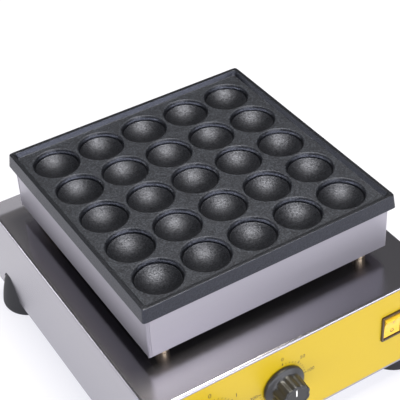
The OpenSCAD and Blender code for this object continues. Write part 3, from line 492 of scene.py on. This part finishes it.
def piece(bm, name, finish_name, body="grill", nodes=(), sharp=35, grain=None):
    """Turns a bmesh into a finished object that rides on a body and stands for CAD nodes."""
    bmesh.ops.remove_doubles(bm, verts=bm.verts, dist=weld)
    bmesh.ops.recalc_face_normals(bm, faces=bm.faces)
    if grain:
        layer = bm.loops.layers.uv.new("grain")
        for face in bm.faces:
            for corner in face.loops:
                corner[layer].uv = grain(face.normal, corner.vert.co)
    mesh = bpy.data.meshes.new(name)
    bm.to_mesh(mesh)
    bm.free()
    mesh.shade_smooth()
    mesh.set_sharp_from_angle(angle=math.radians(sharp))
    mesh.materials.append(finishes[finish_name])
    made = bpy.data.objects.new(name, mesh)
    bpy.context.collection.objects.link(made)
    even = made.modifiers.new("even_light", "WEIGHTED_NORMAL")
    even.keep_sharp = True
    even.weight = 100
    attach(made, body)
    if nodes:
        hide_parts(*nodes)
    print(name, len(mesh.polygons), "faces", [round(v / MM, 1) for v in made.dimensions])


print("pieces weld at", weld / MM, "mm")

# %% [markdown]
# Turned and moulded round pieces are spun from half a profile, given as pairs of radius and height in
# millimetres. Stacked cones and cylinders would need joining; a spin gives one skin with even rings. A
# profile whose ends both lie on the axis, or that comes back to its start, makes a closed skin.

# %% Lathe
pole_weld = 1e-7


def lathe(profile, steps=64):
    """Spins a profile round Z into a new bmesh."""
    bm = bmesh.new()
    points = [bm.verts.new((r * MM, 0, z * MM)) for r, z in profile]
    edges = [bm.edges.new(pair) for pair in zip(points, points[1:])]
    bmesh.ops.spin(bm, geom=points + edges, cent=(0, 0, 0), axis=(0, 0, 1), dvec=(0, 0, 0),
                   angle=2 * math.pi, steps=steps, use_merge=True)
    bmesh.ops.remove_doubles(bm, verts=bm.verts, dist=pole_weld)
    return bm


print("lathe welds its poles at", pole_weld / MM, "mm")

# %% [markdown]
# ## The baking plate
# One well is a lathe shape, so its profile is drawn once and spun: a round bowl, a narrow ledge, and a steep
# wall that bends over into the floor. A plain chamfer would meet the floor at a hard edge, so that wall is a
# quarter of a superellipse, a little less full than a true ellipse.

# %% A well's profile
bowl_r, bowl_bottom, bowl_edge = 20.7, -11.8, -5.06
bowl_deep = bowl_edge - bowl_bottom
ball = (bowl_r ** 2 + bowl_deep ** 2) / (2 * bowl_deep)
rings = 12
well = []
for k in range(rings + 1):
    r = bowl_r * k / rings
    well.append((r, bowl_bottom + ball - math.sqrt(ball ** 2 - r ** 2)))
ledge = [(20.9, -5.0), (21.2, -4.98)]
well += ledge
wall_in, wall_out, wall_deep, fullness = 21.38, 24.6, 4.8, 1.66
for k in range(rings + 1):
    angle = math.radians(90 * k / rings)
    inwards, upwards = math.cos(angle) ** (2 / fullness), math.sin(angle) ** (2 / fullness)
    well.append((wall_out - (wall_out - wall_in) * inwards, wall_deep * (upwards - 1)))
print("well profile", len(well), "points, bowl ball radius", round(ball, 2))

# %% [markdown]
# An operator hands back all that it made in one list. These helpers pick out of it what the next step needs:
# the new vertices, or the outer loop of an extrusion. One more copies geometry and moves the copy.


# %% Copies and loops
def everything(bm):
    """All of a bmesh's geometry."""
    return bm.verts[:] + bm.edges[:] + bm.faces[:]


def verts_in(made):
    """The vertices among what an operator made."""
    return [g for g in made["geom"] if isinstance(g, bmesh.types.BMVert)]


def new_loop(extruded):
    """The new vertices and the new outer edges of an edge extrusion."""
    verts = verts_in(extruded)
    fresh = set(verts)
    edges = [g for g in extruded["geom"] if isinstance(g, bmesh.types.BMEdge)]
    return verts, [e for e in edges if fresh.issuperset(e.verts)]


def copy_by(bm, geom, shift):
    """Copies geometry and moves the copy."""
    copy = bmesh.ops.duplicate(bm, geom=geom)
    bmesh.ops.translate(bm, verts=verts_in(copy), vec=shift)


print("copies and loops ready")

# %% [markdown]
# The spun well's outer loop is extruded once more and its points slid out to a square, which makes a tile,
# and the tiles merge into the floor. The alternative, cutting spheres out of a slab with Booleans, leaves
# uneven faces that show in the highlights.

# %% Tiles of the floor
pitch, across_count = 50 * MM, 5
bm = lathe(well)
well_edge = [e for e in bm.edges if e.is_boundary]
verts, _ = new_loop(bmesh.ops.extrude_edge_only(bm, edges=well_edge))
for v in verts:
    v.co.xy *= pitch / 2 / max(abs(v.co.x), abs(v.co.y))
print("tile", len(bm.faces), "faces")
tile = everything(bm)
steps_out = [(k - across_count // 2) * pitch for k in range(across_count)]
for x in steps_out:
    for y in steps_out:
        if x or y:
            copy_by(bm, tile, (x, y, 0))
bmesh.ops.remove_doubles(bm, verts=bm.verts, dist=weld)
print("floor", len(bm.faces), "faces")

# %% [markdown]
# The rim grows out of the floor's edge: the boundary loop is extruded and scaled again and again along a list
# of half sizes and heights, which gives the lip, its flat top, the drafted outer face and the underside. A
# separate frame would leave a seam at the floor.

# %% Lip, rim and underside
rim_profile = [(128.4, 0.0), (129.1, 0.12), (129.6, 0.55), (131.0, 4.3), (131.35, 4.85), (131.9, 5.0),
               (134.75, 5.0), (135.2, 4.8), (135.4, 4.35), (136.9, -9.4), (136.75, -9.85), (136.3, -10.0),
               (127.0, -10.0), (127.0, -16.0)]
half, at_z = across_count * pitch / 2, 0.0
loop = [e for e in bm.edges if e.is_boundary]
for next_half, next_z in rim_profile:
    verts, loop = new_loop(bmesh.ops.extrude_edge_only(bm, edges=loop))
    grow = next_half * MM / half
    bmesh.ops.scale(bm, verts=verts, vec=(grow, grow, 1))
    bmesh.ops.translate(bm, verts=verts, vec=(0, 0, next_z * MM - at_z))
    half, at_z = next_half * MM, next_z * MM
bmesh.ops.edgeloop_fill(bm, edges=loop)
print("plate with its rim", len(bm.faces), "faces")

# %% [markdown]
# The upright corners of a casting are round, so that it leaves its mould. One bevel rounds all of them, from
# the lip down. A Bevel modifier would need its edges marked first, and here they're found by their place: on
# the diagonals, outside the floor.

# %% Round corners
lip_start, corner_r = rim_profile[0][0] * MM, 2.6


def soften(bm, edges, radius, segments):
    """Rounds edges with a bevel; the radius is in millimetres."""
    bmesh.ops.bevel(bm, geom=edges, offset=radius * MM, offset_type="OFFSET", affect="EDGES",
                    segments=segments, profile=0.5, material=-1)


def on_corner(v):
    """Whether a vertex lies on a diagonal of the plate, outside the floor."""
    return abs(abs(v.co.x) - abs(v.co.y)) < weld and abs(v.co.x) > lip_start


corners = [e for e in bm.edges if all(on_corner(v) for v in e.verts)]
soften(bm, corners, corner_r, 4)
bmesh.ops.translate(bm, verts=bm.verts, vec=plate_middle)
piece(bm, "cast_plate", "nonstick_coat", nodes=["baking_plate"], sharp=40)

# %% [markdown]
# ## The heating box's skirt
# The skirt is folded from sheet, with round bends on the right and tight corners on the left. A cube with its
# ends deleted would do too, but a square ring extruded upwards has nothing to delete. The four uprights are
# then bevelled, each side with its own radius.

# %% Skirt ring and bends
skirt_low, skirt_high, skirt_middle = box_of("heater_skirt")
skirt_half = (skirt_high.x - skirt_low.x) / 2


def rotate(bm, degrees, axis, verts=None):
    """Turns some vertices, or all of them, about an axis through the origin."""
    turning = Matrix.Rotation(math.radians(degrees), 3, axis)
    bmesh.ops.rotate(bm, verts=bm.verts if verts is None else verts, cent=(0, 0, 0), matrix=turning)


def run(edge, axis):
    """How far an edge runs along an axis, 0 to 2 for X to Z."""
    return abs(edge.verts[0].co[axis] - edge.verts[1].co[axis])


bm = bmesh.new()
bmesh.ops.create_circle(bm, cap_ends=False, segments=4, radius=skirt_half * math.sqrt(2))
rotate(bm, 45, "Z")
verts, _ = new_loop(bmesh.ops.extrude_edge_only(bm, edges=bm.edges[:]))
bmesh.ops.translate(bm, verts=verts, vec=(0, 0, skirt_high.z - skirt_low.z))
for side, radius, segments in ((1, 2.5, 5), (-1, 0.7, 2)):
    uprights = [e for e in bm.edges if run(e, 2) > 10 * MM and side * e.verts[0].co.x > skirt_half - MM]
    soften(bm, uprights, radius, segments)
bmesh.ops.recalc_face_normals(bm, faces=bm.faces)
print("skirt ring", len(bm.faces), "faces")

# %% [markdown]
# Two small things tell that it's folded: a slot in each right-hand bend, a relief cut for the folding, and on
# the left a side sheet set in flush, whose cut edge shows as a narrow strip between two fine seams. The slots
# are faces left out between two cuts, and the seams are narrow strips pushed in. A dark line in the material
# would do for the seams from afar, but it would catch no light.

# %% Relief slots and seams
slot_low, slot_high = 8.1 * MM, 17.2 * MM


def score(bm, place, way):
    """Cuts every face along a plane, and keeps both sides."""
    bmesh.ops.bisect_plane(bm, geom=everything(bm), plane_co=place, plane_no=way)


for z in (slot_low, slot_high):
    score(bm, (0, 0, z), (0, 0, 1))
at_slot = [f for f in bm.faces if slot_low < f.calc_center_median().z < slot_high]
slots = [f for f in at_slot if f.normal.x > 0.6 and abs(abs(f.normal.y) - f.normal.x) < 0.1]
bmesh.ops.delete(bm, geom=slots, context="FACES")
seams, seam_deep = ((-131.1, -130.65), (-129.4, -128.95)), 0.5 * MM
for seam in seams:
    for x in seam:
        score(bm, (x * MM, 0, 0), (1, 0, 0))
for start, end in seams:
    strip = [f for f in bm.faces if start < f.calc_center_median().x / MM < end and abs(f.normal.y) > 0.9]
    for v in verts_in(bmesh.ops.extrude_face_region(bm, geom=strip)):
        v.co.y -= math.copysign(seam_deep, v.co.y)
    bmesh.ops.delete(bm, geom=strip, context="FACES_ONLY")
print("skirt with", len(slots), "slot faces out and", len(seams), "seams", len(bm.faces), "faces")

# %% [markdown]
# Sheet parts are drawn as their outer skin and then get their thickness inwards. Openings are cut afterwards
# with solid cutters, as a press would punch them, so each keeps the true thickness at its edge. Both are done
# with modifiers on a work object that is thrown away.


# %% Sheet metal
def sheet_metal(bm, thickness, cutter=None):
    """Thickens an outward-facing skin inwards, cuts it with a solid, and returns the result as a bmesh."""
    work = []
    for name, source in (("work_sheet", bm), ("work_cutter", cutter)):
        if source is not None:
            mesh = bpy.data.meshes.new(name)
            source.to_mesh(mesh)
            source.free()
            work.append(bpy.data.objects.new(name, mesh))
            bpy.context.collection.objects.link(work[-1])
    if thickness:
        wall = work[0].modifiers.new("wall", "SOLIDIFY")
        wall.thickness = thickness
        wall.offset = -1
        wall.use_even_offset = True
    if cutter is not None:
        punch = work[0].modifiers.new("punch", "BOOLEAN")
        punch.operation = "DIFFERENCE"
        punch.solver = "EXACT"
        punch.object = work[1]
    result = bmesh.new()
    result.from_object(work[0], bpy.context.evaluated_depsgraph_get())
    for thing in work:
        bpy.data.objects.remove(thing)
    return result


print("sheet metal ready")

# %% [markdown]
# The skirt's foot is turned inwards as a flange, by an extrusion scaled inwards. The skin has to face
# outwards before it gets its wall, and an open ring has no clear inside, so one outer face is asked.

# %% Skirt flange and wall
sheet, flange = 1.2 * MM, 9 * MM
foot_loop = [e for e in bm.edges if e.is_boundary and all(v.co.z < weld for v in e.verts)]
verts, _ = new_loop(bmesh.ops.extrude_edge_only(bm, edges=foot_loop))
shrink = 1 - flange / skirt_half
bmesh.ops.scale(bm, verts=verts, vec=(shrink, shrink, 1))
bmesh.ops.recalc_face_normals(bm, faces=bm.faces)
if max(bm.faces, key=lambda f: f.calc_center_median().x).normal.x < 0:
    bmesh.ops.reverse_faces(bm, faces=bm.faces)
bmesh.ops.translate(bm, verts=bm.verts, vec=(skirt_middle.x, skirt_middle.y, skirt_low.z))
bm = sheet_metal(bm, sheet)
piece(bm, "folded_skirt", "steel_skirt", nodes=["heater_skirt"], sharp=30,
      grain=lambda n, p: (p.z, p.x + p.y))

# %% [markdown]
# ## The rubber feet
# The feet are moulded cones with bulging sides, a soft lower edge and a deep recess for the screw. A cone
# with a bevel would have straight sides, so the side follows a power curve. The profile is a closed loop, so
# the spun foot is one closed skin.

# %% Feet
foot_h, foot_wide, foot_narrow, bulge = 44.0, 31.2, 21.3, 1.55


def foot_r(z):
    """Radius of a foot in millimetres at a height above the bench."""
    return foot_wide - (foot_wide - foot_narrow) * (z / foot_h) ** bulge


def quarter(r, z, radius, start, turns=5):
    """Points of a quarter round about (r, z), from an angle on, for use in a profile."""
    angles = [math.radians(start + 90 * k / turns) for k in range(turns + 1)]
    return [(r + radius * math.cos(a), z + radius * math.sin(a)) for a in angles]


screw_r, recess_r, recess_deep, chamfer, low_edge, top_edge = 3.3, 11, 20, 0.8, 4.0, 1.4
side_top = foot_h - top_edge
foot_profile = [(screw_r, foot_h), (screw_r, recess_deep), (recess_r, recess_deep), (recess_r, chamfer)]
foot_profile += [(recess_r + chamfer, 0)]
foot_profile += quarter(foot_r(low_edge) - low_edge, low_edge, low_edge, -90)
foot_profile += [(foot_r(z), z) for z in range(6, 43, 3)]
foot_profile += quarter(foot_r(side_top) - top_edge, side_top, top_edge, 0, 4) + [(screw_r, foot_h)]
for name in ("front_left", "front_right", "rear_left", "rear_right"):
    low, _, middle = box_of(name + "_foot")
    bm = lathe(foot_profile)
    bmesh.ops.translate(bm, verts=bm.verts, vec=(middle.x, middle.y, low.z))
    piece(bm, "foot_" + name, "foot_rubber", nodes=[name + "_foot"], sharp=50)

# %% [markdown]
# ## The folded base
# Deck and sides are one sheet. A box with faces deleted would have no sloping rear strip, so a grid is cut
# once where that strip starts, and its rear edge is lowered.

# %% Deck with its sloping strip
base_low, base_high, base_middle = box_of("base_shell")
base_half = (base_high - base_low) / 2
slope_run, slope_drop = 29 * MM, 5.1 * MM
bm = bmesh.new()
bmesh.ops.create_grid(bm, x_segments=1, y_segments=1, size=1.0)
bmesh.ops.scale(bm, verts=bm.verts, vec=(base_half.x, base_half.y, 1))
bmesh.ops.translate(bm, verts=bm.verts, vec=(base_middle.x, base_middle.y, base_high.z))
score(bm, (0, base_high.y - slope_run, 0), (0, 1, 0))
rear_edge = [v for v in bm.verts if v.co.y > base_high.y - weld]
bmesh.ops.translate(bm, verts=rear_edge, vec=(0, 0, -slope_drop))
print("deck", len(bm.faces), "faces")

# %% [markdown]
# The deck's outer edges are extruded down as lips, and the two sides are carried on to the bottom. All the
# folds are then one bevel, which also closes the corners. The fold of the rear strip belongs to it: without
# its own narrow bend, the even shading would blend the strip into the deck.

# %% Lips, sides and folds
lip_drop, fold_r = 3 * MM, 2.8
rim_edges = [e for e in bm.edges if e.is_boundary]
inner_fold = [e for e in bm.edges if not e.is_boundary]
verts, lips = new_loop(bmesh.ops.extrude_edge_only(bm, edges=rim_edges))
bmesh.ops.translate(bm, verts=verts, vec=(0, 0, -lip_drop))
known = set(lips + rim_edges + inner_fold)


def at_an_end(v):
    """Whether a vertex lies at the front or the rear of the base."""
    return min(abs(v.co.y - base_low.y), abs(v.co.y - base_high.y)) < weld


corner_folds = [e for e in bm.edges if e not in known and at_an_end(e.verts[0])]
side_edges = [e for e in lips if run(e, 0) < weld]
verts, _ = new_loop(bmesh.ops.extrude_edge_only(bm, edges=side_edges))
for v in verts:
    v.co.z = base_low.z
soften(bm, rim_edges + corner_folds + inner_fold, fold_r, 5)
bmesh.ops.recalc_face_normals(bm, faces=bm.faces)
if max(bm.faces, key=lambda f: f.calc_area()).normal.z < 0:
    bmesh.ops.reverse_faces(bm, faces=bm.faces)
print("base skin", len(bm.faces), "faces")

# %% [markdown]
# The sides have an arch over each foot, which the press punches before the sheet is folded. Here the cutters
# follow a foot's own curve with a small gap, so the arch fits the foot at every height.

# %% Foot arches
arch_gap, foot_from_side, foot_from_end = 0.7, 21.5 * MM, 31.25 * MM
arch = [(0, foot_h)] + [(foot_r(z) + arch_gap, z) for z in range(44, -1, -4)] + [(0, 0)]
cutter = lathe(arch, steps=96)
one = everything(cutter)
foot_x, foot_y = base_half.x - foot_from_side, base_half.y - foot_from_end
bmesh.ops.translate(cutter, verts=cutter.verts, vec=(base_middle.x + foot_x, base_middle.y + foot_y, 0))
for shift in ((-2 * foot_x, 0, 0), (0, -2 * foot_y, 0), (-2 * foot_x, -2 * foot_y, 0)):
    copy_by(cutter, one, shift)
bmesh.ops.recalc_face_normals(cutter, faces=cutter.faces)
bm = sheet_metal(bm, sheet, cutter)
piece(bm, "folded_base", "steel_deck", nodes=["base_shell"], sharp=30,
      grain=lambda n, p: (p.y, p.z) if abs(n.x) > 0.7 else (p.y - p.z, p.x))

# %% [markdown]
# ## The control film
# The yellow panel is a thick printed film on the front sheet, with rounded corners. A flat plane would show
# no edge, so it's a thin block. Helpers make such a block, and round its edges from front to back.

# %% Film blank
film_low, film_high, film_middle = box_of("control_overlay")


def block(size):
    """New bmesh that holds a box of a size, about the origin."""
    bm = bmesh.new()
    bmesh.ops.create_cube(bm, size=1.0)
    bmesh.ops.scale(bm, verts=bm.verts, vec=size)
    return bm


def round_corners(bm, radius):
    """Rounds the edges that run from front to back."""
    soften(bm, [e for e in bm.edges if run(e, 1) > 0.01 * MM], radius, 4)


bm = block(film_high - film_low)
round_corners(bm, 2)
bmesh.ops.translate(bm, verts=bm.verts, vec=film_middle)
print("film blank", len(bm.faces), "faces")

# %% [markdown]
# The film is punched for the shafts, the screws, the switch and the lamp, so that nothing runs through it.
# All the punches are solids in one bmesh, placed from the CAD nodes, so a single Boolean cuts every hole.

# %% Punched film
dials = {name: box_of(name + "_knob")[2] for name in ("timer", "thermostat")}
switch_middle = box_of("switch_body")[2]
lamp_middle = box_of("lamp_body")[2]
shaft_hole, screw_hole, lamp_hole, screw_out, punch_deep = 5.2, 2.1, 5.2, 14, 10 * MM
holes = []
for dial in dials.values():
    holes += [(dial, 0, shaft_hole), (dial, -screw_out, screw_hole), (dial, screw_out, screw_hole)]
holes.append((lamp_middle, 0, lamp_hole))
punches = bmesh.new()
for middle, aside, radius in holes:
    hole = bmesh.ops.create_cone(punches, cap_ends=True, segments=32, radius1=radius * MM,
                                 radius2=radius * MM, depth=punch_deep)["verts"]
    rotate(punches, 90, "X", hole)
    bmesh.ops.translate(punches, verts=hole, vec=(middle.x + aside * MM, film_middle.y, middle.z))
window = bmesh.ops.create_cube(punches, size=1.0)["verts"]
bmesh.ops.scale(punches, verts=window, vec=(22.4 * MM, punch_deep, 28.4 * MM))
bmesh.ops.translate(punches, verts=window, vec=(switch_middle.x, film_middle.y, switch_middle.z))
bm = sheet_metal(bm, 0, punches)
piece(bm, "control_film", "yellow_film", nodes=["control_overlay"], sharp=30)

# %% [markdown]
# The film's print is drawn as thin raised ink: a ring of ticks round each dial and plain numbers, minutes for
# the timer and degrees for the thermostat. An image would need a UV map and blur close up. Numbers start as
# text, are made a mesh, and only then put in place.

# %% Ticks and numbers
ink = 0.04 * MM
long_tick, short_tick = (0.9, 3.0, 0.0), (0.5, 1.8, -0.6)


def add_tick(bm, radius, angle, tick):
    """One tick at a radius and at an angle in degrees, clockwise from the top."""
    wide, tall, outwards = tick
    verts = bmesh.ops.create_grid(bm, x_segments=1, y_segments=1, size=0.5)["verts"]
    bmesh.ops.scale(bm, verts=verts, vec=(wide * MM, tall * MM, 1))
    bmesh.ops.translate(bm, verts=verts, vec=(0, (radius + outwards) * MM, 0))
    rotate(bm, -angle, "Z", verts)


def add_number(bm, label, size, radius, angle):
    """One number, its middle at a radius and an angle."""
    text = bpy.data.curves.new("number", "FONT")
    text.body = label
    text.size = size * MM
    text.align_x, text.align_y = "CENTER", "CENTER"
    holder = bpy.data.objects.new("number", text)
    bpy.context.collection.objects.link(holder)
    flat = bpy.data.meshes.new_from_object(holder.evaluated_get(bpy.context.evaluated_depsgraph_get()))
    way, reach = math.radians(angle), radius * MM
    flat.transform(Matrix.Translation((reach * math.sin(way), reach * math.cos(way), 0)))
    bm.from_mesh(flat)
    bpy.data.objects.remove(holder)


print("ink", ink / MM, "mm thick")

# %% [markdown]
# Each dial's ticks and numbers become one piece, which stands on the film and doesn't turn with the knob.

# %% Dial print
tick_radius, number_radius = 25.5, 31.9


def place_on_front(bm, middle, y):
    """Turns a piece drawn upwards so that it faces forwards, and moves it over a middle, to a depth."""
    rotate(bm, 90, "X")
    bmesh.ops.translate(bm, verts=bm.verts, vec=(middle.x, y, middle.z))


def print_dial(name, labels, sweep, tick_count, size):
    """Ticks over a sweep from the top, clockwise, with a label at even steps."""
    bm = bmesh.new()
    for k in range(tick_count):
        numbered = k * (len(labels) - 1) % (tick_count - 1) == 0
        add_tick(bm, tick_radius, sweep * k / (tick_count - 1), long_tick if numbered else short_tick)
    for k, label in enumerate(labels):
        add_number(bm, label, size, number_radius, sweep * k / (len(labels) - 1))
    bmesh.ops.remove_doubles(bm, verts=bm.verts, dist=weld)
    bmesh.ops.solidify(bm, geom=bm.faces[:], thickness=ink)
    place_on_front(bm, dials[name], film_low.y - ink)
    piece(bm, name + "_print", "print_black", sharp=30)


print_dial("timer", ["0", "1", "2", "3", "4", "5"], 300, 31, size=7.2)
print_dial("thermostat", ["0", "50", "100", "150", "200", "250", "300"], 270, 31, size=5.8)

# %% [markdown]
# ## Knobs
# A knob is a moulded skirt with a fluted grip, hollow behind, with a hub for the shaft. It's spun from one
# profile, which starts in the bore and ends in the middle of the dished top.

# %% Knob profile
knob_r, knob_h, grip_r, top_round = 22.0, 22.0, 16.5, 1.5
bore_r, bore_deep, hub_r, hub_gap, hollow_r, hollow = 3.1, 15.2, 6.0, 0.3, 19.5, 3.5
knob_profile = [(0, bore_deep), (bore_r, bore_deep), (bore_r, hub_gap), (hub_r, hub_gap), (hub_r, hollow),
                (hollow_r, hollow), (hollow_r, 0)]
knob_profile += [(knob_r - 0.4, 0), (knob_r, 0.4), (knob_r, 2.4), (knob_r - 0.4, 3.4), (knob_r - 1.2, 4.1),
                 (18.6, 5.1), (17.4, 5.6), (16.8, 6.2)]
knob_profile += [(grip_r, 7.2), (16.2, 9.5), (16.0, 14), (15.7, 18), (15.5, 20.3)]
knob_profile += quarter(14.0, knob_h - top_round, top_round, 0, 4)[1:]
knob_profile += [(12.6, knob_h), (12.0, 21.75), (11.4, 21.7), (0, 21.7)]
print("knob profile", len(knob_profile), "points")

# %% [markdown]
# Cutting ten flutes with Booleans would leave hard edges. Instead each ring of the grip is pulled in along a
# wave, which fades out towards the skirt. A white line, a separate inlay, points to the number.

# %% Knobs and pointers
flutes, flute_deep, flute_start, flute_fade, top_r = 10, 0.085, 6.0, 2.5, 12.5
pointer_size, pointer_out, pointer_z = Vector((1.3, 8.0, 0.5)) * MM, 7.2 * MM, 21.6 * MM
for name, dial in dials.items():
    bm = lathe(knob_profile, steps=120)
    for v in bm.verts:
        rise = min(1.0, max(0.0, (v.co.z / MM - flute_start) / flute_fade))
        if rise > 0 and v.co.xy.length / MM > top_r:
            wave = 0.5 - 0.5 * math.cos(flutes * math.atan2(v.co.x, v.co.y))
            v.co.xy *= 1 - rise * flute_deep * wave ** 2
    knob_back = box_of(name + "_knob")[1].y
    place_on_front(bm, dial, knob_back)
    piece(bm, name + "_dial_knob", "knob_black", body=name + "_dial", nodes=[name + "_knob"])
    bm = block(pointer_size)
    soften(bm, bm.edges[:], 0.15, 2)
    bmesh.ops.translate(bm, verts=bm.verts, vec=(0, pointer_out, pointer_z))
    place_on_front(bm, dial, knob_back)
    piece(bm, name + "_pointer", "print_white", body=name + "_dial", sharp=30)

# %% [markdown]
# ## Power switch
# The bezel is a moulded frame with soft edges, a deep pocket and a housing behind the panel. A Boolean would
# cut the pocket too, but insets keep clean loops for the soft edges. A block on the film has its rear face
# inset and pulled back as the housing. Its front face is inset to the width of the frame, inset and pushed
# back as a short slope, inset again by almost nothing, and pushed back, which makes the pocket's walls.

# %% Switch bezel
bezel = Vector((25.8, 2.2, 31.5)) * MM
bm = block(bezel)
round_corners(bm, 1.6)
front = min(bm.faces, key=lambda f: f.calc_center_median().y)
rear = max(bm.faces, key=lambda f: f.calc_center_median().y)
frame_wide, slope_wide, pocket_gap = 2.0, 0.5, 0.02
for face, inset, push in ((rear, 1.9, 26), (front, frame_wide, 0), (front, slope_wide, 0.7),
                          (front, pocket_gap, 11)):
    bmesh.ops.inset_region(bm, faces=[face], thickness=inset * MM, depth=0)
    bmesh.ops.translate(bm, verts=face.verts[:], vec=(0, push * MM, 0))
rim = [e for e in bm.edges if all(v.co.y < -bezel.y / 2 + weld for v in e.verts)
       and any(abs(f.normal.y) < 0.5 for f in e.link_faces)]
soften(bm, rim, 0.45, 3)
bmesh.ops.translate(bm, verts=bm.verts, vec=(switch_middle.x, film_low.y - bezel.y / 2, switch_middle.z))
piece(bm, "switch_bezel", "switch_brown", nodes=["switch_body"])

# %% [markdown]
# The rocker is an amber lens with a hollow front, so a finger finds either end. Bending a block would
# curve its back too, so its side outline is drawn with a shallow curve in front, extruded across, and
# softened. It's modelled upright about its pivot and then tilted to the off side, as the CAD node is.

# %% Rocker
rocker_half, rocker_tall, front_y, hollow_deep, bows, off_tilt = 10.0, 12.15, -3.4, 1.8, 6, 9
outline = []
for t in range(bows, -bows - 1, -1):
    outline.append((front_y - hollow_deep * (t / bows) ** 2, rocker_tall * t / bows))
outline += [(1.5, -rocker_tall), (5, -4), (5, 4), (1.5, rocker_tall)]
bm = bmesh.new()
cheek = bm.faces.new([bm.verts.new((-rocker_half * MM, y * MM, z * MM)) for y, z in outline])
swept = bmesh.ops.extrude_face_region(bm, geom=[cheek])
bmesh.ops.translate(bm, verts=verts_in(swept), vec=(2 * rocker_half * MM, 0, 0))
bmesh.ops.recalc_face_normals(bm, faces=bm.faces)
soft = [e for e in bm.edges if len(e.link_faces) == 2 and e.calc_face_angle(0) > math.radians(40)
        and max(v.co.y for v in e.verts) < MM]
soften(bm, soft, 0.6, 3)
pivot = Vector((switch_middle.x, film_low.y + 2 * MM, switch_middle.z))
rotate(bm, off_tilt, "X")
bmesh.ops.translate(bm, verts=bm.verts, vec=pivot)
piece(bm, "rocker_lens", "amber_lens", body="rocker", nodes=["power_rocker"])

# %% [markdown]
# The rocker's two ends carry the usual signs, a bar for on and a ring for off. They're thin ink on the hollow
# front, drawn flat, leaned with the curve where they lie, and then tilted about the pivot with the lens. They
# ride on the rocker's body, so they move with it.

# %% Rocker marks
mark_z, mark_y, mark_lean, mark_thick = 6.1, -3.88, 8.5, 0.12
bar = block(Vector((0.8, 4.2, mark_thick)) * MM)
soften(bar, bar.edges[:], 0.04, 2)
ring_in, ring_out = 1.5, 2.2
ring_profile = [(ring_in, 0), (ring_out, 0), (ring_out, mark_thick), (ring_in, mark_thick), (ring_in, 0)]
ring = lathe(ring_profile, steps=40)
for name, bm, way in (("rocker_bar", bar, 1), ("rocker_ring", ring, -1)):
    rotate(bm, 90 + mark_lean * way, "X")
    bmesh.ops.translate(bm, verts=bm.verts, vec=(0, mark_y * MM, way * mark_z * MM))
    rotate(bm, off_tilt, "X")
    bmesh.ops.translate(bm, verts=bm.verts, vec=pivot)
    piece(bm, name, "print_black", body="rocker")

# %% [markdown]
# ## Heating lamp
# A small round indicator: a black bezel with a soft edge, and a domed amber lens. Part of a sphere would do
# for the lens, but it needs a stem behind as well, so both are spun.

# %% Lamp
lamp_bezel = [(4.9, -1.0), (4.9, 1.6), (5.4, 1.95), (5.9, 2.0), (6.5, 1.85), (6.9, 1.4), (7.0, 0.9),
              (7.0, 0.0), (5.0, 0.0), (5.0, -1.0), (4.9, -1.0)]
bm = lathe(lamp_bezel)
place_on_front(bm, lamp_middle, film_low.y)
piece(bm, "lamp_bezel", "control_black", nodes=["lamp_body"], sharp=40)
lens_r, lens_h, lens_foot, stem_end, lens_rings = 4.7, 2.4, 2, -0.9, 8
lens_ball = (lens_r ** 2 + lens_h ** 2) / (2 * lens_h)
lens_profile = []
for k in range(lens_rings + 1):
    r = lens_r * k / lens_rings
    lens_profile.append((r, lens_foot + lens_h - lens_ball + math.sqrt(lens_ball ** 2 - r ** 2)))
bm = lathe(lens_profile + [(lens_r, stem_end), (0, stem_end)])
place_on_front(bm, lamp_middle, film_low.y)
piece(bm, "lamp_dome", "amber_lens", nodes=["lamp_lens"], sharp=40)

# %% [markdown]
# ## Cross-head screws
# The screws in view on the back and under the bottom have domed heads with a cross recess. One screw is spun
# with its shank, the cross is cut with two crossed blades, one after the other, and copies are turned and
# moved to their places. A cross in the material alone would look flat close up.

# %% Screws
head_r, head_h, shank_r, shank = 3.75, 2.4, 2, 5.4
screw = [(0, -shank), (shank_r, -shank), (shank_r, 0), (3.55, 0), (head_r, 0.2), (head_r, 1.0), (3.6, 1.5),
         (3.2, 1.95), (2.5, 2.25), (1.4, head_h), (0, head_h)]
blades = (Vector((4.2, 0.8, 2.4)) * MM, Vector((0.8, 4.2, 2.4)) * MM)


def cross_screws(name, node, places, face_way):
    """Screws at places on a face, with their heads towards face_way."""
    bm = lathe(screw, steps=32)
    bmesh.ops.recalc_face_normals(bm, faces=bm.faces)
    for size in blades:
        blade = block(size)
        bmesh.ops.translate(blade, verts=blade.verts, vec=(0, 0, head_h * MM))
        bm = sheet_metal(bm, 0, blade)
    one = everything(bm)
    turning = Vector((0, 0, 1)).rotation_difference(Vector(face_way)).to_matrix()
    bmesh.ops.rotate(bm, verts=bm.verts, cent=(0, 0, 0), matrix=turning)
    for place in places[1:]:
        copy_by(bm, one, Vector(place) - Vector(places[0]))
    bmesh.ops.translate(bm, verts=bm.verts, vec=places[0])
    piece(bm, name, "steel_zinc", nodes=[node])


edge = head_r * MM
low, high, middle = box_of("rear_screws")
panel_y = box_of("rear_panel")[1].y
columns, rows = (low.x + edge, high.x - edge), (low.z + edge, middle.z, high.z - edge)
cross_screws("rear_panel_screws", "rear_screws", [(x, panel_y, z) for x in columns for z in rows], (0, 1, 0))
low, high, middle = box_of("bottom_screws")
bottom_z = box_of("bottom_plate")[0].z
columns, rows = (low.x + edge, high.x - edge), (low.y + edge, middle.y, high.y - edge)
cross_screws("bottom_plate_screws", "bottom_screws", [(x, y, bottom_z) for x in columns for y in rows],
             (0, 0, -1))
